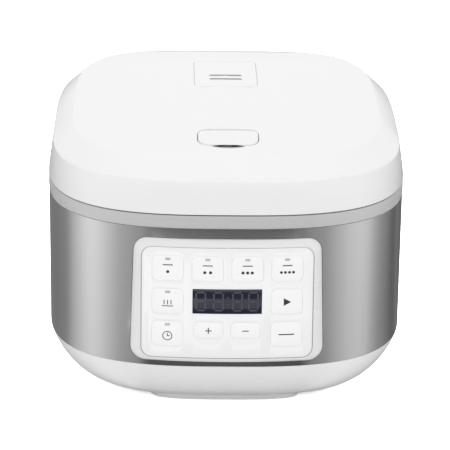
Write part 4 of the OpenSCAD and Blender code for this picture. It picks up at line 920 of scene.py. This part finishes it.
def makeDisplay():
    lens = figureAt(0, window["z"], rounded(window["w"], window["h"], 0.4, steps=3), -4.0, -2.1)
    lens = bevelSharp(lens, 0.2, 60, 2, before(-3.9))
    finished("displayLens", bentOnPanel(lens), "base", "display_window")
    bm = bmesh.new()
    half, tall, thick, slack = (figures[k] for k in ("half", "tall", "thick", "slack"))
    for middle in figures["places"]:
        for x, z, long, lying in ((0, tall, half, 1), (0, 0, half, 1), (0, -tall, half, 1),
                                  (-half, tall / 2, tall / 2, 0), (half, tall / 2, tall / 2, 0),
                                  (-half, -tall / 2, tall / 2, 0), (half, -tall / 2, tall / 2, 0)):
            e = long - slack
            outline = ((-e, 0), (thick - e, -thick), (e - thick, -thick), (e, 0),
                       (e - thick, thick), (thick - e, thick))
            flat([(middle + x + (a if lying else b), window["z"] + z + (b if lying else a))
                  for a, b in outline], bm)
    for z in figures["colon"]:
        flat(disc(0.4, window["z"] + z, 0.65), bm)
    bmesh.ops.translate(bm, vec=(0, -4.03, 0), verts=bm.verts)
    detail("displaySegments", bentOnPanel(bm), "base", "display_dark", segmentGrey)


# Generic printed marks: dots count the programmes, the rest are plain signs
def bar(x, z, w, h):
    return [(x + a, z + b) for a, b in rounded(w, h, min(w, h) / 2.2, steps=3)]


def hoop(x, z, r, wide, n=28):
    inside, outside = arc(x, z, r, 0, 360, n), arc(x, z, r + wide, 0, 360, n)
    return [(inside[i], outside[i], outside[i + 1], inside[i + 1]) for i in range(n)]


def dots(count, pitch, r):
    return [bar(0, 2.6, 7, 0.7)] + [disc(pitch * (i - (count - 1) / 2), -2.4, r)
                                    for i in range(count)]


marks = {
    "menu_key_1": dots(1, 0, 1.1),
    "menu_key_2": dots(2, 4, 1.1),
    "menu_key_3": dots(3, 3.2, 1.1),
    "menu_key_4": dots(4, 2.8, 1.0),
    "warm_key": [bar(0, -3.4, 8, 0.6)] + [bar(x, -0.6, 0.6, 3.4) for x in (-2.4, 0, 2.4)],
    "start_key": [[(-2.2, -2.8), (3, 0), (-2.2, 2.8)]],
    "timer_key": hoop(0, -1.4, 2.9, 0.55) + [bar(0, -0.4, 0.55, 2.3), bar(0.8, -1.4, 2, 0.55)],
    "hour_key": [bar(0, 0, 4.6, 0.7), bar(0, 0, 0.7, 4.6)],
    "minute_key": [bar(0, 0, 4.6, 0.7)],
    "cancel_key": [bar(0, 0, 11, 0.8)],
}


def makeMarks():
    for name, kx, kz in keys:
        w, h = keySize(name)
        bm = bmesh.new()
        for figure in marks[name]:
            flat(figure, bm)
        for i in range(-10, 11):
            for no in ((1, 0, 0), (0, 0, 1)):
                bmesh.ops.bisect_plane(bm, geom=bm.verts[:] + bm.edges[:] + bm.faces[:], dist=0.001,
                                       plane_co=(i, 0, i), plane_no=no)
        for v in bm.verts:
            x, z = v.co.x, v.co.z
            v.co = onPanel(kx + x, kz + z, keyFace(keyDepth(x, z, w, h), h) + 0.035)
        detail(name.replace("_", "") + "Mark", bm, name, "display_dark", printGrey)


makeTub()
makeBand()
makeCollar()
print("stage: base shells")
makeLid()
makeHingeCover()
makeSteamCap()
makeButton()
print("stage: lid shells")
makeFrame()
makeFascia()
for key in keys:
    makeKey(*key)
makeLenses()
makeDisplay()
makeMarks()
print("stage: front panel")


# A node's own form, copied and merged
def nodeForm(name):
    bm = bmesh.new()
    bm.from_mesh(frame["nodes"][name].data)
    bmesh.ops.scale(bm, vec=(1 / mm, 1 / mm, 1 / mm), verts=bm.verts)
    bmesh.ops.remove_doubles(bm, verts=bm.verts, dist=0.004)
    bmesh.ops.dissolve_limit(bm, angle_limit=radians(0.05), verts=bm.verts, edges=bm.edges)
    return bm


# CAD nodes shown as they are but for softer edges: piece, body, bevel's width and segments
softer = {
    "foot_bars": ("footBars", "base", 0.3, 3),
    "foot_pads": ("footPads", "base", 0.25, 2),
    "upper_deck": ("deckShell", "base", 0.35, 3),
    "power_inlet": ("inletHousing", "base", 0.3, 2),
    "inlet_prongs": ("inletPins", "base", 0.25, 3),
    "dew_cup": ("dewCup", "dew_cup", 0.5, 3),
    "lid_liner": ("linerShell", "lid", 0.35, 2),
    "steam_well": ("steamWell", "lid", 0.3, 2),
    "steam_cap_base": ("steamCapBase", "steam_lid", 0.3, 2),
    "lid_latch": ("latchHook", "latch", 0.3, 3),
}


def makeSofter():
    for name, (piece, body, width, steps) in softer.items():
        finished(piece, bevelSharp(nodeForm(name), width, 50, steps), body, name)


# Springs, each with its body, the joint that presses it and that joint's travel in metres
springs = {"sensor_spring": ("sensorCoil", "base", "sensor_press", 0.0015),
           "button_spring": ("buttonCoil", "lid", "button_press", 0.003)}


def makeSprings():
    for name, (piece, body, joint, travel) in springs.items():
        coil = finished(piece, nodeForm(name), body, name)
        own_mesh(coil)


# Profile of radii and heights turned about the pot's upright axis
def turned(profile, closed=False, steps=160):
    turns = [2 * pi * i / steps for i in range(steps)]
    return loft([[Vector((r * cos(t), r * sin(t) + hull["potY"], z)) for t in turns]
                 for r, z in profile], closed)


pot = {"r": 94, "wall": 2, "floor": 29.5, "bend": 22, "rim": (102, 103), "rimZ": 146.2, "scaleR": 91.88,
       "scaleAt": (62, 118), "ticks": 11, "tickLow": 45, "tickPitch": 8, "tickW": (12, 7), "tickH": 0.8}


def makePot():
    r, t, low, corner = pot["r"], pot["wall"], pot["floor"], pot["bend"]
    (neck, out), z = pot["rim"], pot["rimZ"]
    outside = [(0.5, low), (40, low), *arc(r - corner, low + corner, corner, -90, 0, 10), (r, 80),
               (r, 120), (r, z - 0.8), (r + 0.4, z - 0.2), (r + 1, z)]
    rim = [(neck, z), (neck + 0.5, z + 0.15), (neck + 0.88, z + 0.5), (out, z + 0.95),
           (neck + 0.88, z + 1.4), (neck + 0.5, z + 1.75), (neck, z + 1.9)]
    lip = arc(94.8, 145.3, 2.8, 90, 180, 6)
    hollow = arc(r - corner, low + corner, corner - t, -90, 0, 10)
    inside = [(r - t, 120), (r - t, 80), *reversed(hollow), (40, low + t), (0.5, low + t)]
    finished("potShell", turned(outside + rim + lip + inside), "pot", "inner_pot")
    ticks, (long, short) = bmesh.new(), pot["tickW"]
    for turn in pot["scaleAt"]:
        for i in range(pot["ticks"]):
            z, w = pot["tickLow"] + pot["tickPitch"] * i, short if i % 2 else long
            row = [radians(turn + (j - 4) * w / 8 * 0.62) for j in range(9)]
            for a, b in zip(row, row[1:]):
                flat([(a, z), (b, z), (b, z + pot["tickH"]), (a, z + pot["tickH"])], ticks)
    for v in ticks.verts:
        turn, r = v.co.x, pot["scaleR"]
        v.co = (r * cos(turn), r * sin(turn) + hull["potY"], v.co.z)
    detail("potScale", ticks, "pot", "pot_coating", scaleGrey)


# Plate under the lid, with pressed rings and six steam holes
plate = {"r": 95.5, "t": 0.8, "top": 153.2, "dish": 151.7, "press": 0.3, "rings": (44, 68),
         "holeR": 1.52, "holesR": 5.07, "holesY": 30}


def makeInnerLid():
    r, t, top, dish = (plate[k] for k in ("r", "t", "top", "dish"))
    base, press = dish - t, plate["press"]
    below = [(x, base) for x in (0.5, 14, 24)]
    for x in plate["rings"]:
        below += [(x, base), (x + 1, base - press), (x + 3, base - press), (x + 4, base)]
    below += [(r - 14.4, base), (r - 13.4, base + 0.15), (r - 10.8, top - t - 0.15),
              (r - 9.8, top - t), (r - 1.2, top - t), (r - 1, top - t - 0.2), (r - 1, top - 2.8),
              (r - 0.8, top - 3), (r - 0.2, top - 3), (r, top - 2.8), (r, top)]
    above = [(r - 10.5, top), (r - 14.5, dish), *((x, dish) for x in (44, 24, 14, 0.5))]
    holes = [rod((x, y, dish - 4), (x, y, dish + 4), plate["holeR"], 20)
             for x, y in arc(0, plate["holesY"], plate["holesR"], 0, 300, 5)]
    finished("innerLidPlate", carved(turned(below + above), *holes), "lid", "inner_lid")


back = {"z": 89, "size": (150, 90, 8), "out": 3.9, "bury": 2.7, "skinOut": 1.5, "rim": 4.8, "edge": 0.9,
        "cup": ((-35.3, 98.7), (35.3, 125.3)), "inlet": ((26.7, 53.7), (57.3, 78.3)),
        "wall": 2, "wallY": (111.4, 151.6), "wallLow": 96.7, "wallTop": 125}


def makeBackShell():
    def skin(inset):
        return loft([ring(inset, 36), ring(inset, 142)])

    def shape(d, y0, y1):
        w, h, r = back["size"]
        return figureAt(0, back["z"], rounded(w - d, h - d, r - d / 2), y0, y1)

    def through(corners):
        (x0, z0), (x1, z1) = corners
        return box((x0, 100, z0), (x1, 200, z1))

    # The cup's and the inlet's openings, at the panel's face only
    def mouth(edge):
        return all(v.co.y > 151 and (abs(abs(v.co.x) - half) < 0.1 or abs(v.co.z - 112) < 13.4
                                     or v.co.z < 79) and abs(v.co.x) < 60 for v in edge.verts)

    form = carved(carved(skin(-back["out"]), shape(0, 100, 200), how="INTERSECT"), skin(back["bury"]))
    form = bevelSharp(form, back["edge"], 50, 4, lambda e: all(v.co.y > 149.5 for v in e.verts))
    hollow = carved(skin(-back["skinOut"]), shape(back["rim"], 100, 200), how="INTERSECT")
    half, low = back["cup"][1][0], back["cup"][0][1]
    (y0, y1), z0, t = back["wallY"], back["wallLow"], back["wall"]
    walls = [box((x - t / 2, y0, z0), (x + t / 2, y1, back["wallTop"]))
             for x in (-half - t / 2, half + t / 2)]
    walls.append(box((-half - 0.01, y0, z0), (half + 0.01, y1, low)))
    shell = bevelSharp(carved(form, hollow, through(back["cup"]), through(back["inlet"])), 0.3, 60, 3,
                       mouth)
    finished("backShell", together(shell, *walls), "base", "back_panel")


def makeGasket():
    profile = [(96.9, 153.2), (100.8, 153.2), (101, 153), (101, 150.7), (100.4, 149.6), (99, 148.7),
               (97.4, 148.4), (96.4, 148.6), (96.1, 149), (96.6, 149.5), (98, 149.7), (98.7, 150.4),
               (98.4, 151), (96.7, 151.4), (96.5, 152)]
    finished("gasketRing", turned(profile, closed=True), "lid", "lid_gasket", turn=50)


makeSofter()
makeSprings()
makePot()
makeInnerLid()
makeBackShell()
makeGasket()
print("stage: rear and inside")


# Studio: a floor that keeps the shadow, soft lamps, and a card that only the metal reflects.
# The card's levels run over the angle round the part; lamps have a place, an aim, a size in
# metres and a power in watts
studio = {"world": 0.84, "floorR": 6, "bounce": 0.92, "seen": 3.6, "cardR": (0.08, 3.2),
          "card": ((-180, 0.2), (180, 0.2), (-153, 0.24), (-138, 0.26), (-129, 0.3), (-122, 0.32),
                   (-115, 0.4), (-108, 0.57), (-102, 0.7), (-88, 0.94), (-78.5, 1.04), (-69, 0.98),
                   (-55.7, 0.76), (-43.8, 0.56), (-36.7, 0.5), (-25, 0.4), (-16, 0.12), (14, 0.1),
                   (24, 0.34), (37, 0.43), (47, 0.6), (62, 0.8), (76, 0.87), (87, 0.79), (97, 0.57),
                   (107, 0.41), (121, 0.28), (132, 0.17), (140, 0.17), (145, 0.24), (152, 0.16)),
          "lamps": (("topLamp", (0, 0, 2.4), (0, 0, 0), (2.4, 2.4), 12),
                    ("frontLamp", (0, -2.8, 0.7), (0, 0, 0.1), (1.6, 1.0), 7.6))}


def emptyTree(owner):
    owner.use_nodes = True
    owner.node_tree.nodes.clear()
    return owner.node_tree


def grey(level):
    return (level, level, level, 1)


def makeFloor():
    bm = bmesh.new()
    bmesh.ops.create_circle(bm, cap_ends=True, segments=96, radius=studio["floorR"])
    floor = placed("studioFloor", bm)
    floor.location = (0, 0, -0.0002)
    look = bpy.data.materials.new("floorPaper")
    tree = emptyTree(look)
    bounced = node(tree, "BsdfDiffuse", Color=grey(studio["bounce"])).outputs[0]
    seen = node(tree, "BsdfDiffuse", Color=grey(studio["seen"])).outputs[0]
    paper = node(tree, "MixShader", i0=node(tree, "LightPath").outputs["Is Camera Ray"],
                 i1=bounced, i2=seen).outputs[0]
    clear = node(tree, "BsdfTransparent").outputs[0]
    sided = node(tree, "MixShader", i0=node(tree, "NewGeometry").outputs["Backfacing"], i1=paper,
                 i2=clear)
    node(tree, "OutputMaterial", Surface=sided.outputs[0])
    floor.data.materials.append(look)


def makeWorld():
    world = bpy.data.worlds.new("studio")
    scene.world = world
    tree = emptyTree(world)
    path = node(tree, "LightPath").outputs
    direct = calc(tree, "MAXIMUM", path["Is Camera Ray"], calc(
        tree, "MAXIMUM", path["Is Glossy Ray"], path["Is Transmission Ray"]))
    white = node(tree, "Background", Color=grey(1), Strength=1.0).outputs[0]
    soft = node(tree, "Background", Color=grey(1), Strength=studio["world"]).outputs[0]
    both = node(tree, "MixShader", i0=direct, i1=soft, i2=white)
    node(tree, "OutputWorld", Surface=both.outputs[0])


def makeCard():
    bm = bmesh.new()
    small, large = studio["cardR"]
    bmesh.ops.create_circle(bm, cap_ends=False, segments=96, radius=small)
    for v in bmesh.ops.extrude_edge_only(bm, edges=bm.edges)["geom"]:
        if isinstance(v, bmesh.types.BMVert):
            v.co *= large / small
    card = placed("reflectionCard", bm)
    card.location = (0, 0, 0.001)
    for kind in ("camera", "diffuse", "shadow", "transmission", "volume_scatter"):
        setattr(card, "visible_" + kind, False)
    look = bpy.data.materials.new("cardLight")
    tree = emptyTree(look)
    place = node(tree, "TexCoord").outputs["Object"]
    x, y, z = node(tree, "SeparateXYZ", i0=place).outputs

    def op(kind, a, b=0.0):
        return calc(tree, kind, a, b)

    # Angle round the part, with the middle of its front held to one direction
    wide = op("MAXIMUM", op("SUBTRACT", op("ABSOLUTE", x), 0.06))
    turn = op("ARCTAN2", op("MULTIPLY", wide, op("SIGN", x)), op("SUBTRACT", -0.12, y))
    ramp = node(tree, "ValToRGB", i0=node(tree, "MapRange", i0=turn, i1=-pi, i2=pi).outputs[0])
    stops = ramp.color_ramp.elements
    for i, (angle, level) in enumerate(studio["card"]):
        spot = (angle + 180) / 360
        stop = stops[i] if i < 2 else stops.new(spot)
        stop.position, stop.color = spot, grey(level)

    # A paler patch under the keypad gives its gloss, brighter to the left of a slanting edge
    ahead = op("MULTIPLY", op("LESS_THAN", wide, 0.11),
               op("LESS_THAN", op("ABSOLUTE", op("ADD", y, 0.37)), 0.1))
    slant = op("ADD", x, op("MULTIPLY", op("ADD", y, 0.449), 0.351))
    level = graded(tree, op("LESS_THAN", slant, -0.01), 0.35, 0.8)
    patch = node(tree, "CombineColor", Red=level, Green=level, Blue=level).outputs[0]
    reach = node(tree, "VectorMath", {"operation": "LENGTH"}, i0=place).outputs["Value"]
    fade = node(tree, "MapRange", i0=reach, i1=0.24, i2=0.5, i3=0.88, i4=1.0).outputs[0]
    shine = node(tree, "Emission", Color=mixed(tree, ahead, ramp.outputs[0], patch), Strength=fade)
    node(tree, "OutputMaterial", Surface=shine.outputs[0])
    card.data.materials.append(look)


def makeLamps():
    for name, place, aim, size, power in studio["lamps"]:
        lamp = bpy.data.objects.new(name, bpy.data.lights.new(name, "AREA"))
        lamp.data.shape, lamp.data.size, lamp.data.size_y = "RECTANGLE", *size
        lamp.data.energy = power
        lamp.visible_glossy = False
        scene.collection.objects.link(lamp)
        lamp.location = place
        lamp.rotation_mode = "QUATERNION"
        lamp.rotation_quaternion = (Vector(aim) - Vector(place)).to_track_quat("-Z", "Y")


makeFloor()
makeWorld()
makeCard()
makeLamps()
scene.view_settings.view_transform = "Standard"
print("stage: studio")
